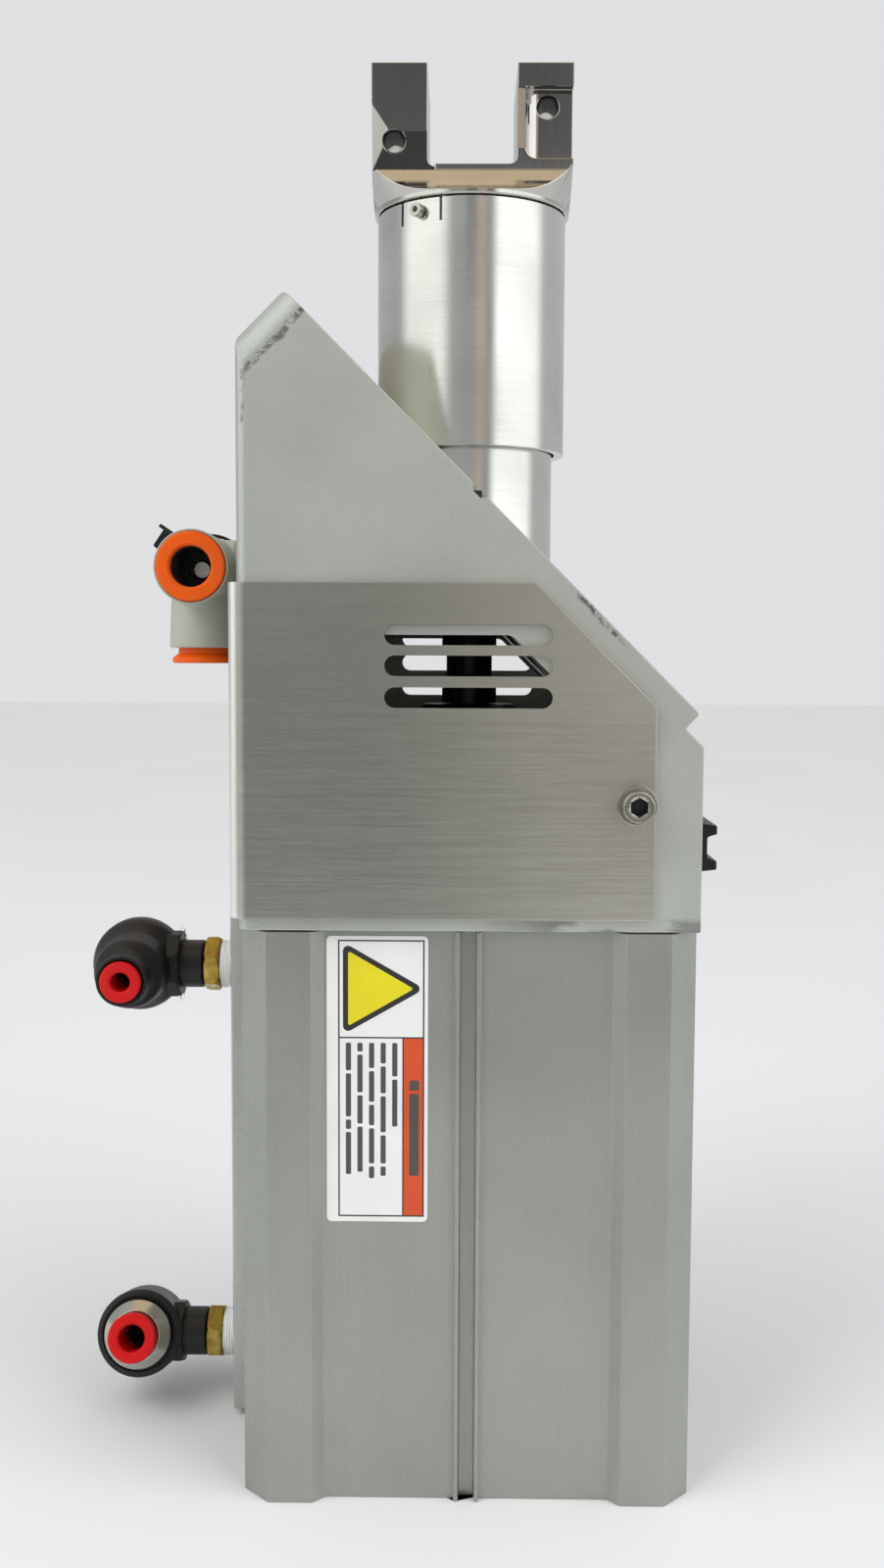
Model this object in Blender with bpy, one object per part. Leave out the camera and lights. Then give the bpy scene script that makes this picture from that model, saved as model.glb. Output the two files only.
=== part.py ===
"""Pneumatic door actuator: square cylinder, 45 degree mounting bracket, guarded rod and fixed fork.

Units are metres and +Z is up. The origin is the centre of the base, on the cylinder's axis.
-Y is the front with the slotted cover, -X is the side with the air ports.
"""
import math

import bmesh
import bpy
from mathutils import Matrix, Vector

X, Y, Z = Vector((1, 0, 0)), Vector((0, 1, 0)), Vector((0, 0, 1))

GAP = 0.0003                    # clearance between pieces that touch
OVERSHOOT = 0.002               # how far a cutter runs past the face it opens
FINE, ROUND, SMALL, HOLE = 28, 20, 12, 8    # sides of round pieces, by size

# Cylinder barrel: an extruded profile, the same on all four sides
SIDE = 0.114
HALF = SIDE / 2
BARREL_TOP = 0.147
CORNER_CHAMFER = 0.0068
POST_EDGE = 0.039               # where the corner post's flat ends
RECESS_EDGE = 0.036             # foot of the slope into the recessed face
RECESS = 0.003
RIB_HALF, RIB_DROP = 0.0032, 0.0013
SLOT_HALF, SLOT_DEPTH = 0.0020, 0.0045
BORE_R = 0.050
CORNER_BOLT = 0.044             # bolts stand at +-44 mm in X and Y
MOUNT_HOLE_R, MOUNT_HOLE_DEPTH = 0.0042, 0.018
UPPER_PORT_Z, LOWER_PORT_Z = 0.1274, 0.0196
LOWER_TILT = 17.0                                       # degrees that the lower elbow's mouth points up
PORT_R = 0.004

# Heads that close the barrel, and the rod parts they carry
REAR_HEAD_TOP = 0.028
FRONT_HEAD_BASE = 0.119
ROD_R = 0.011
GLAND_R, GLAND_BASE = 0.015, 0.134
CUSHION_R = 0.017
GROOVE_DEPTH, GROOVE_HALF = 0.0035, 0.002
REAR_GROOVE_Z, FRONT_GROOVE_Z = 0.008, 0.141
WIRE_Z, WIRE_R = 0.0035, 0.0011
BUMPER_INNER, BUMPER_OUTER, BUMPER_THICK = 0.024, 0.034, 0.0025

# Piston and the rod assembly that it drives
PISTON_BASE, PISTON_TOP, PISTON_R = 0.0311, 0.0659, 0.0494
PISTON_GROOVES = {"piston_seal_lower": 0.0385, "piston_magnet_ring": 0.0485, "piston_seal_upper": 0.0585}
STEM_R, NUT_FLATS, NUT_BASE, NUT_TOP = 0.008, 0.024, 0.034, 0.043
NUT_POCKET_R = 0.0150
COUPLER_BASE, COUPLER_TOP, COUPLER_R = 0.1783, 0.2015, 0.014
STUD_R, STUD_TOP = 0.0062, 0.188
SHAFT_R, NECK_R, NECK_BASE, NECK_TOP = 0.00755, 0.0063, 0.2095, 0.216
SHAFT_STUD_R = 0.0050

# Fork on top of the shaft
FORK_TOP, FORK_BASE_R = 0.3686, 0.0262
SPIGOT_R, SPIGOT_BASE = 0.0242, 0.3245
RIM_Z, SHOULDER_Z, SLOT_FLOOR = 0.3329, 0.3415, 0.3431
PRONG_OUT, PRONG_IN, PRONG_HALF_Y = 0.0263, 0.01175, 0.0165
COVE_CENTRE, COVE_R = (0.027, 0.345), 0.0109
FORK_STUD_R, FORK_STUD_TOP = 0.0060, 0.339
LEFT_HOLE, RIGHT_HOLE, PIN_R = (-0.0205, 0.349), (0.0197, 0.3582), 0.00295

# Sleeve that guards the rod, screwed to the fork's spigot
SLEEVE_R, SLEEVE_INNER_R, SLEEVE_BASE, SLEEVE_TOP = 0.0254, 0.0245, 0.2694, 0.3326
SLEEVE_SCREW_Z, SLEEVE_SCREW_ANGLE = 0.3295, 238.0      # degrees from +X, the second is opposite
TAB_HALF_ANGLE, SLIT_WIDTH, SLIT_LENGTH = 13.5, 0.0008, 0.006

# Fixed tube, its collar and the bellows inside it
TUBE_R, TUBE_INNER_R, TUBE_BASE, TUBE_TOP = 0.02222, 0.0205, 0.222, 0.322
COLLAR_HALF_X, COLLAR_HALF_Y = 0.030, 0.034
BELLOWS_R, BELLOWS_INNER_R, BELLOWS_BASE, BELLOWS_TOP = 0.0200, 0.012, 0.231, 0.319

# Bracket housing: its slanted faces lie on planes where x + z is constant
WALL, FLOOR_TOP = 0.006, 0.157
FACE_SUM, SLAB_SUM, COLLAR_SUM = 0.257, 0.240, 0.231
CROWN = ((-0.057, 0.2916), (-0.0458, 0.3028))
SLAB_END, SLAB_FOOT, WALL_TOP = (0.0559, 0.2011), (0.0525, 0.1975), (0.057, 0.193)
FLANGE_BORE_R = 0.029
FLANGE_HOLES = ((-0.0385, 0.046), (0.0470, 0.046))     # x and +-y of tapped holes in the slanted face
WINDOW = ((-0.034, 0.172), (0.030, 0.172), (0.030, 0.200), (0.010, 0.220), (-0.034, 0.220))
BOLT_R, BOLT_HEAD_R, BOLT_HEAD, BOLT_TIP = 0.004, 0.0063, 0.008, 0.127

# Sheet cover wrapped round the front, left and back of the housing
SHEET, COVER_BASE, COVER_TOP, COVER_RIGHT, COVER_SUM = 0.0015, 0.1505, 0.2325, 0.0452, 0.248
VENT_ENDS, VENT_Z, VENT_HALF = (-0.0208, 0.0200), (0.2200, 0.2125, 0.2048), 0.0025
COVER_SCREW = (0.0406, 0.179)

# Manifold plate on the left of the barrel
PLATE_OUT, PLATE_HALF, PLATE_BASE, PLATE_TOP = 0.0655, 0.0122, 0.002, 0.146
PLATE_SCREWS = (0.052, 0.096)

# Fittings on the left side, all centred on y = 0
ELBOW_X = -0.0930
EXHAUST_X, EXHAUST_Z = -0.0735, 0.238

# Connector on the right wall of the housing
PLUG_HALF_Y, PLUG_FACE, PLUG_EAR = 0.0154, 0.0648, 0.0674

CROSSED_BORES = ("upper_elbow", "lower_elbow", "exhaust_elbow", "exhaust_stem", "manifold_plate")

MATERIALS = {
    "anodised": ((0.46, 0.47, 0.45), 0.42, 0.85),
    "brushed_steel": ((0.38, 0.37, 0.35), 0.34, 1.0),
    "polished_steel": ((0.66, 0.66, 0.65), 0.12, 1.0),
    "dark_steel": ((0.10, 0.10, 0.10), 0.38, 1.0),
    "machined_aluminium": ((0.60, 0.61, 0.62), 0.30, 1.0),
    "brass": ((0.52, 0.38, 0.17), 0.33, 1.0),
    "bronze": ((0.45, 0.30, 0.16), 0.40, 1.0),
    "nickel": ((0.55, 0.54, 0.51), 0.24, 1.0),
    "rubber": ((0.015, 0.015, 0.015), 0.70, 0.0),
    "black_resin": ((0.018, 0.018, 0.019), 0.42, 0.0),
    "grey_resin": ((0.42, 0.42, 0.38), 0.45, 0.0),
    "orange_resin": ((0.75, 0.12, 0.005), 0.35, 0.0),
    "red_resin": ((0.60, 0.010, 0.012), 0.35, 0.0),
}


def material(name):
    """Return the named Principled material, made on first use."""
    found = bpy.data.materials.get(name)
    if found:
        return found
    colour, roughness, metallic = MATERIALS[name]
    made = bpy.data.materials.new(name)
    made.use_nodes = True
    shader = made.node_tree.nodes["Principled BSDF"]
    shader.inputs["Base Color"].default_value = (*colour, 1.0)
    shader.inputs["Roughness"].default_value = roughness
    shader.inputs["Metallic"].default_value = metallic
    return made


def add_object(name, bm, material_name=None):
    """Close a bmesh into a named object; without a material it is a cutter."""
    bmesh.ops.recalc_face_normals(bm, faces=bm.faces)
    if bm.calc_volume(signed=True) < 0:
        bmesh.ops.reverse_faces(bm, faces=bm.faces)
    mesh = bpy.data.meshes.new(name)
    bm.to_mesh(mesh)
    bm.free()
    mesh.shade_smooth()
    mesh.set_sharp_from_angle(angle=math.radians(30))
    obj = bpy.data.objects.new(name, mesh)
    bpy.context.scene.collection.objects.link(obj)
    if material_name:
        mesh.materials.append(material(material_name))
    else:
        obj.hide_render = True
        obj.display_type = 'WIRE'
    return obj


def frame_matrix(axis, start):
    """Matrix that stands local +Z along the axis at the start point."""
    return Matrix.Translation(start) @ Z.rotation_difference(Vector(axis)).to_matrix().to_4x4()


def revolve(profile, sides, axis=Z, start=(0, 0, 0)):
    """Spin a closed outline of (radius, height) points about an axis into a bmesh."""
    bm = bmesh.new()
    verts = [bm.verts.new((radius, 0, height)) for radius, height in profile]
    edges = [bm.edges.new(pair) for pair in zip(verts, verts[1:] + verts[:1])]
    bmesh.ops.spin(bm, geom=verts + edges, cent=(0, 0, 0), axis=(0, 0, 1), angle=math.tau,
                   steps=sides, use_merge=True, use_duplicate=False)
    bmesh.ops.remove_doubles(bm, verts=bm.verts, dist=0.000001)
    on_axis = [edge for edge in bm.edges if not edge.link_faces]
    bmesh.ops.delete(bm, geom=on_axis, context='EDGES')
    bm.transform(frame_matrix(axis, start))
    return bm


def turned(name, profile, material_name=None, sides=ROUND, axis=Z, start=(0, 0, 0)):
    return add_object(name, revolve(profile, sides, axis, start), material_name)


def ring(name, inner, outer, base, top, material_name, sides=ROUND, axis=Z, start=(0, 0, 0)):
    """Plain ring or tube between two radii."""
    profile = [(outer, top), (outer, base), (inner, base), (inner, top)]
    return turned(name, profile, material_name, sides, axis, start)


def rod(name, radius, length, material_name=None, sides=SMALL, axis=Z, start=(0, 0, 0)):
    """Plain cylinder that starts at a point and runs along an axis."""
    profile = [(0, length), (radius, length), (radius, 0), (0, 0)]
    return turned(name, profile, material_name, sides, axis, start)


def seal_ring(name, bore, depth, half, centre, material_name="rubber"):
    """Ring that fills a groove cut in a head or in the piston."""
    half -= GAP
    return ring(name, bore - depth + GAP, bore - GAP, centre - half, centre + half, material_name, FINE)


def grooved(radius, base, top, groove_centres, groove_floor, half):
    """Outer side of a turned piece from top to base, with square grooves."""
    points = [(radius, top)]
    for centre in sorted(groove_centres, reverse=True):
        points += [(radius, centre + half), (groove_floor, centre + half),
                   (groove_floor, centre - half), (radius, centre - half)]
    return points + [(radius, base)]


def prism(name, outline, axis, low, high, material_name=None):
    """Extrude an outline along X, Y or Z. Its points are the other two coordinates in order."""
    order = {"X": lambda a, b, c: (c, a, b), "Y": lambda a, b, c: (a, c, b), "Z": lambda a, b, c: (a, b, c)}
    place = order[axis]
    bm = bmesh.new()
    face = bm.faces.new([bm.verts.new(place(a, b, low)) for a, b in outline])
    moved = bmesh.ops.extrude_face_region(bm, geom=[face])
    shift = Vector(place(0, 0, high - low))
    bmesh.ops.translate(bm, vec=shift, verts=[g for g in moved["geom"] if isinstance(g, bmesh.types.BMVert)])
    return add_object(name, bm, material_name)


def block(name, low, high, material_name=None):
    outline = [(low[0], low[1]), (high[0], low[1]), (high[0], high[1]), (low[0], high[1])]
    return prism(name, outline, "Z", low[2], high[2], material_name)


def polygon(count, flats, turn=0.0, centre=(0, 0)):
    """Regular outline given by the distance across its flats."""
    radius = flats / 2 / math.cos(math.pi / count)
    angles = [math.tau * (i + 0.5) / count + turn for i in range(count)]
    return [(centre[0] + radius * math.cos(a), centre[1] + radius * math.sin(a)) for a in angles]


def arc(centre, radius, start, end, steps):
    """Points on an arc, angles in degrees."""
    angles = [math.radians(start + (end - start) * i / steps) for i in range(steps + 1)]
    return [(centre[0] + radius * math.cos(a), centre[1] + radius * math.sin(a)) for a in angles]


def stadium(left, right, height, half):
    """Slot outline with round ends."""
    return arc((right - half, height), half, -90, 90, 8) + arc((left + half, height), half, 90, 270, 8)


def boolean(obj, other, operation='DIFFERENCE'):
    """Boolean with another object. Pieces whose bores cross need the MANIFOLD solver."""
    modifier = obj.modifiers.new(other.name, 'BOOLEAN')
    modifier.operation = operation
    modifier.solver = 'MANIFOLD' if obj.name in CROSSED_BORES else 'EXACT'
    modifier.object = other
    return obj


def drill(obj, radius, start, axis, length, sides=SMALL):
    """Cut a round hole that starts at a point and runs along an axis."""
    name = f"{obj.name}_hole_{len(obj.modifiers)}"
    return boolean(obj, rod(name, radius, length, None, sides, axis, start))


def socket_screw(name, seat, axis, head_r, head, shank_r, shank, key_flats, material_name):
    """Cap screw whose head stands on the seat and whose shank runs back along the axis."""
    profile = [(0, head), (head_r * 0.9, head), (head_r, head * 0.9), (head_r, 0),
               (shank_r, 0), (shank_r, -shank), (0, -shank)]
    screw = turned(name, profile, material_name, SMALL, axis, seat)
    key = prism(name + "_key", polygon(6, key_flats), "Z", head * 0.45, head + OVERSHOOT)
    key.matrix_world = frame_matrix(axis, seat)
    return boolean(screw, key)


def barrel_outline():
    """One quarter side written once, then mirrored and turned to all four sides."""
    rib_top = HALF - RIB_DROP
    floor = HALF - RECESS
    half_side = [(SLOT_HALF, HALF - SLOT_DEPTH), (SLOT_HALF, rib_top), (RIB_HALF, rib_top),
                 (RIB_HALF, floor), (RECESS_EDGE, floor), (POST_EDGE, HALF),
                 (HALF - CORNER_CHAMFER, HALF)]
    side = [(-x, y) for x, y in reversed(half_side)] + half_side
    points = []
    for turn in range(4):
        cos, sin = math.cos(-turn * math.pi / 2), math.sin(-turn * math.pi / 2)
        points += [(x * cos - y * sin, x * sin + y * cos) for x, y in side]
    return points


def corners(reach):
    return [(sx * reach, sy * reach) for sx, sy in ((-1, -1), (1, -1), (1, 1), (-1, 1))]


def build_barrel():
    barrel = prism("barrel", barrel_outline(), "Z", 0, BARREL_TOP, "anodised")
    wire_groove = [(BORE_R, WIRE_Z + WIRE_R + GAP), (BORE_R + WIRE_R + GAP, WIRE_Z + WIRE_R + GAP),
                   (BORE_R + WIRE_R + GAP, WIRE_Z - WIRE_R - GAP), (BORE_R, WIRE_Z - WIRE_R - GAP)]
    bore = [(0, BARREL_TOP + OVERSHOOT), (BORE_R, BARREL_TOP + OVERSHOOT), *wire_groove,
            (BORE_R, -OVERSHOOT), (0, -OVERSHOOT)]
    boolean(barrel, turned("barrel_bore", bore, None, FINE))
    for x, y in corners(CORNER_BOLT):
        drill(barrel, BOLT_R + GAP, (x, y, BOLT_TIP - OVERSHOOT), Z, 0.030)
        drill(barrel, MOUNT_HOLE_R, (x, y, -OVERSHOOT), Z, MOUNT_HOLE_DEPTH + OVERSHOOT)
    for height in (LOWER_PORT_Z, UPPER_PORT_Z):
        drill(barrel, PORT_R, (-HALF - OVERSHOOT, 0, height), X, 0.012)
    for height in PLATE_SCREWS:
        drill(barrel, 0.0023, (-HALF - OVERSHOOT, 0, height), X, 0.0058)
    return barrel


def build_rear_head():
    groove = [(BORE_R - GAP, REAR_GROOVE_Z + GROOVE_HALF), (BORE_R - GROOVE_DEPTH, REAR_GROOVE_Z + GROOVE_HALF),
              (BORE_R - GROOVE_DEPTH, REAR_GROOVE_Z - GROOVE_HALF), (BORE_R - GAP, REAR_GROOVE_Z - GROOVE_HALF)]
    wire = [(BORE_R - GAP, WIRE_Z + WIRE_R + GAP), (BORE_R - WIRE_R - GAP, WIRE_Z + WIRE_R + GAP),
            (BORE_R - WIRE_R - GAP, WIRE_Z - WIRE_R - GAP), (BORE_R - GAP, WIRE_Z - WIRE_R - GAP)]
    profile = [(0, 0.013), (GLAND_R, 0.013), (GLAND_R, REAR_HEAD_TOP), (BORE_R - GAP, REAR_HEAD_TOP),
               *groove, *wire, (BORE_R - GAP, 0), (0, 0)]
    head = turned("rear_head", profile, "machined_aluminium", FINE)
    drill(head, PORT_R, (-BORE_R - OVERSHOOT, 0, LOWER_PORT_Z), X, 0.042)
    seal_ring("rear_head_seal", BORE_R, GROOVE_DEPTH, GROOVE_HALF, REAR_GROOVE_Z)
    wire_section = [(BORE_R + x, WIRE_Z + z) for x, z in arc((0, 0), WIRE_R, 0, 300, 5)]
    turned("rear_retaining_wire", wire_section, "dark_steel", FINE)
    ring("rear_bumper", BUMPER_INNER, BUMPER_OUTER, REAR_HEAD_TOP + GAP,
         REAR_HEAD_TOP + GAP + BUMPER_THICK, "rubber")


def build_front_head():
    top = BARREL_TOP - GAP
    outer = grooved(BORE_R - GAP, FRONT_HEAD_BASE, top, [FRONT_GROOVE_Z], BORE_R - GROOVE_DEPTH, GROOVE_HALF)
    inner = [(CUSHION_R, FRONT_HEAD_BASE), (CUSHION_R, 0.132), (ROD_R + GAP, 0.132),
             (ROD_R + GAP, GLAND_BASE), (GLAND_R, GLAND_BASE), (GLAND_R, top)]
    head = turned("front_head", outer + inner, "machined_aluminium", FINE)
    drill(head, PORT_R, (-BORE_R - OVERSHOOT, 0, UPPER_PORT_Z), X, 0.038)
    seal_ring("front_head_seal", BORE_R, GROOVE_DEPTH, GROOVE_HALF, FRONT_GROOVE_Z)
    inside, outside = ROD_R + GAP, GLAND_R - GAP
    ring("rod_seal", inside, outside, GLAND_BASE + GAP, 0.1380, "rubber")
    ring("rod_bushing", inside, outside, 0.1383, 0.1433, "bronze")
    ring("rod_wiper", inside, outside, 0.1436, 0.1464, "rubber")
    ring("front_bumper", BUMPER_INNER, BUMPER_OUTER, FRONT_HEAD_BASE - GAP - BUMPER_THICK,
         FRONT_HEAD_BASE - GAP, "rubber")


def build_piston():
    outer = grooved(PISTON_R, PISTON_BASE, PISTON_TOP, PISTON_GROOVES.values(), BORE_R - GROOVE_DEPTH,
                    GROOVE_HALF)
    inner = [(NUT_POCKET_R, PISTON_BASE), (NUT_POCKET_R, NUT_TOP + GAP), (STEM_R + GAP, NUT_TOP + GAP),
             (STEM_R + GAP, PISTON_TOP)]
    turned("piston", outer + inner, "machined_aluminium", FINE)
    for name, height in PISTON_GROOVES.items():
        seal_ring(name, BORE_R, GROOVE_DEPTH, GROOVE_HALF, height)
    nut = prism("piston_nut", polygon(6, NUT_FLATS), "Z", NUT_BASE, NUT_TOP, "dark_steel")
    drill(nut, STEM_R + GAP, (0, 0, NUT_BASE - OVERSHOOT), Z, 0.014, ROUND)
    shoulder = PISTON_TOP + GAP
    neck = COUPLER_BASE - GAP
    profile = [(0, STUD_TOP), (STUD_R, STUD_TOP), (STUD_R, neck), (ROD_R, neck), (ROD_R, shoulder),
               (STEM_R, shoulder), (STEM_R, NUT_BASE), (0, NUT_BASE)]
    turned("piston_rod", profile, "polished_steel")


def build_shaft():
    bore_step = STUD_TOP + GAP
    profile = [(SHAFT_STUD_R + GAP, COUPLER_TOP), (COUPLER_R - 0.001, COUPLER_TOP),
               (COUPLER_R, COUPLER_TOP - 0.001), (COUPLER_R, COUPLER_BASE), (STUD_R + GAP, COUPLER_BASE),
               (STUD_R + GAP, bore_step), (SHAFT_STUD_R + GAP, bore_step)]
    turned("rod_coupler", profile, "dark_steel")
    top = SPIGOT_BASE - GAP
    seat = COUPLER_TOP + GAP
    profile = [(0, FORK_STUD_TOP), (FORK_STUD_R, FORK_STUD_TOP), (FORK_STUD_R, top), (SHAFT_R, top),
               (SHAFT_R, NECK_TOP), (NECK_R, NECK_TOP), (NECK_R, NECK_BASE), (SHAFT_R, NECK_BASE),
               (SHAFT_R, seat), (SHAFT_STUD_R, seat), (SHAFT_STUD_R, bore_step + GAP), (0, bore_step + GAP)]
    turned("shaft", profile, "polished_steel")


def fork_cutters():
    """Solids taken away from the fork's turned blank."""
    far = 0.040
    slot = [(-PRONG_IN, 0.40), (-PRONG_IN, SLOT_FLOOR + 0.002)]
    slot += arc((-PRONG_IN + 0.002, SLOT_FLOOR + 0.002), 0.002, 180, 270, 4)[1:]
    slot += arc((PRONG_IN - 0.002, SLOT_FLOOR + 0.002), 0.002, 270, 360, 4) + [(PRONG_IN, 0.40)]
    cutters = [prism("fork_slot", slot, "Y", -far, far)]
    for sign, side in ((-1, "front"), (1, "back")):
        cove = arc(COVE_CENTRE, COVE_R, 198.7, 270, 5)
        shoulder = [(PRONG_HALF_Y, 0.40), (PRONG_HALF_Y, SHOULDER_Z)] + cove
        shoulder += [(far, COVE_CENTRE[1] - COVE_R), (far, 0.40)]
        cutters.append(prism(f"fork_shoulder_{side}", [(sign * y, z) for y, z in shoulder], "X", -far, far))
    low_face = [(-0.0300, 0.3512), (-PRONG_HALF_Y, 0.3512), (-0.0136, SHOULDER_Z), (-0.0300, SHOULDER_Z)]
    cutters.append(prism("fork_left_face", low_face, "X", -far, -PRONG_IN + OVERSHOOT))
    pocket = arc((0.0139 + 0.003, 0.3444 + 0.003), 0.003, 180, 270, 5)
    pocket += [(far, 0.3444), (far, 0.3626), (0.0139, 0.3626)]
    cutters.append(prism("fork_right_pocket", pocket, "Y", -far, -PRONG_HALF_Y + 0.0030))
    return cutters


def build_fork():
    """Round base with a spigot below and two prongs above, cut from one blank."""
    wide = math.hypot(PRONG_OUT, PRONG_HALF_Y)
    profile = [(0, FORK_TOP), (wide, FORK_TOP), (wide, SLOT_FLOOR), (FORK_BASE_R, RIM_Z + 0.0012),
               (FORK_BASE_R, RIM_Z), (SPIGOT_R, RIM_Z), (SPIGOT_R, SPIGOT_BASE), (0, SPIGOT_BASE)]
    fork = turned("fork", profile, "polished_steel")
    for cutter in fork_cutters():
        boolean(fork, cutter)
    for sign, side in ((-1, "left"), (1, "right")):
        low, high = sorted((sign * PRONG_OUT, sign * 0.050))
        boolean(fork, block(f"fork_flank_{side}", (low, -0.05, RIM_Z + 0.0012), (high, 0.05, 0.40)))
    drill(fork, FORK_STUD_R + GAP, (0, 0, SPIGOT_BASE - OVERSHOOT), Z, FORK_STUD_TOP - SPIGOT_BASE + 0.003)
    for x, z in (LEFT_HOLE, RIGHT_HOLE):
        drill(fork, PIN_R, (x, -0.03, z), Y, 0.06, HOLE)
    for index in range(2):
        outward = radial(SLEEVE_SCREW_ANGLE + 180 * index)
        start = outward * (SPIGOT_R + OVERSHOOT) + Z * SLEEVE_SCREW_Z
        drill(fork, 0.0015, start, -outward, 0.009, HOLE)


def radial(degrees):
    """Horizontal unit vector at an angle from +X."""
    return Vector((math.cos(math.radians(degrees)), math.sin(math.radians(degrees)), 0))


def build_sleeve():
    sleeve = ring("sleeve", SLEEVE_INNER_R, SLEEVE_R, SLEEVE_BASE, SLEEVE_TOP, "polished_steel", FINE)
    for index in range(2):
        middle = SLEEVE_SCREW_ANGLE + 180 * index
        outward = radial(middle)
        foot = outward * 0.020 + Z * SLEEVE_SCREW_Z
        drill(sleeve, 0.0016, foot, outward, 0.010, HOLE)
        for offset in (-TAB_HALF_ANGLE, TAB_HALF_ANGLE):
            cutter = block(f"sleeve_slit_{index}_{offset:.0f}",
                           (0.022, -SLIT_WIDTH / 2, SLEEVE_TOP - SLIT_LENGTH),
                           (0.028, SLIT_WIDTH / 2, SLEEVE_TOP + OVERSHOOT))
            cutter.rotation_euler.z = math.radians(middle + offset)
            boolean(sleeve, cutter)
        socket_screw(f"sleeve_screw_{index + 1}", outward * (SLEEVE_R + GAP) + Z * SLEEVE_SCREW_Z, outward,
                     0.00175, 0.0022, 0.0011, 0.0072, 0.0015, "nickel")


def build_tube():
    ring("guide_tube", TUBE_INNER_R, TUBE_R, TUBE_BASE, TUBE_TOP, "polished_steel")
    outline = [(-COLLAR_HALF_X, SLAB_SUM - GAP * 1.5 + COLLAR_HALF_X),
               (-COLLAR_HALF_X, COLLAR_SUM + COLLAR_HALF_X), (COLLAR_HALF_X, COLLAR_SUM - COLLAR_HALF_X),
               (COLLAR_HALF_X, SLAB_SUM - GAP * 1.5 - COLLAR_HALF_X)]
    collar = prism("tube_collar", outline, "Y", -COLLAR_HALF_Y, COLLAR_HALF_Y, "anodised")
    drill(collar, TUBE_R + GAP, (0, 0, 0.19), Z, 0.1, ROUND)
    ring("bellows_top_ring", SHAFT_R + 0.001, BELLOWS_R, BELLOWS_TOP + GAP, TUBE_TOP - GAP, "nickel", SMALL)
    ring("bellows", BELLOWS_INNER_R, BELLOWS_R, BELLOWS_BASE, BELLOWS_TOP, "nickel", SMALL)
    ring("bellows_bottom_ring", SHAFT_R + GAP, BELLOWS_R, BELLOWS_BASE - 0.003, BELLOWS_BASE - GAP, "nickel",
         SMALL)


def build_housing():
    outline = [(-HALF, BARREL_TOP + GAP), (HALF, BARREL_TOP + GAP), WALL_TOP, SLAB_FOOT, SLAB_END,
               CROWN[1], CROWN[0]]
    housing = prism("housing", outline, "Y", -HALF, HALF, "anodised")
    inside = HALF - WALL
    cavity = [(-inside, FLOOR_TOP), (inside, FLOOR_TOP), (inside, SLAB_SUM - inside),
              (-inside, SLAB_SUM + inside)]
    boolean(housing, prism("housing_cavity", cavity, "Y", -inside, inside))
    boolean(housing, prism("housing_window", WINDOW, "Y", -HALF - OVERSHOOT, HALF + OVERSHOOT))
    drill(housing, FLANGE_BORE_R, (0, 0, 0.2), Z, 0.1, ROUND)
    drill(housing, ROD_R + 0.002, (0, 0, BARREL_TOP - OVERSHOOT), Z, 0.015, ROUND)
    for number, (x, y) in enumerate(corners(CORNER_BOLT), start=1):
        drill(housing, BOLT_R + GAP, (x, y, BARREL_TOP - OVERSHOOT), Z, 0.015)
        socket_screw(f"housing_bolt_{number}", (x, y, FLOOR_TOP + GAP), Z, BOLT_HEAD_R,
                     BOLT_HEAD, BOLT_R, FLOOR_TOP + GAP - BOLT_TIP, 0.006, "dark_steel")
    for sign in (-1, 1):
        drill(housing, 0.0026, (COVER_SCREW[0], sign * (inside - OVERSHOOT), COVER_SCREW[1]), Y * sign, 0.012)
    drill(housing, 0.0065, (-HALF - OVERSHOOT, 0, EXHAUST_Z), X, 0.012)
    inward = Vector((-1, 0, -1)).normalized()
    for x, y in FLANGE_HOLES:
        for sign in (-1, 1):
            face = Vector((x, sign * y, FACE_SUM - x))
            drill(housing, 0.0025, face - inward * OVERSHOOT, inward, 0.010 + OVERSHOOT, HOLE)
    notch = prism("housing_notch", [(0.0005, 0.262), (0.0005, 0.2545), (0.0022, 0.2528), (0.008, 0.2528)],
                  "Y", -HALF - OVERSHOOT, -HALF + 0.004)
    boolean(housing, notch)
    slot = block("housing_plug_slot", (inside - OVERSHOOT, -0.0125, 0.1590), (HALF + OVERSHOOT, 0.0125, 0.1675))
    boolean(housing, slot)
    return housing


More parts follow.
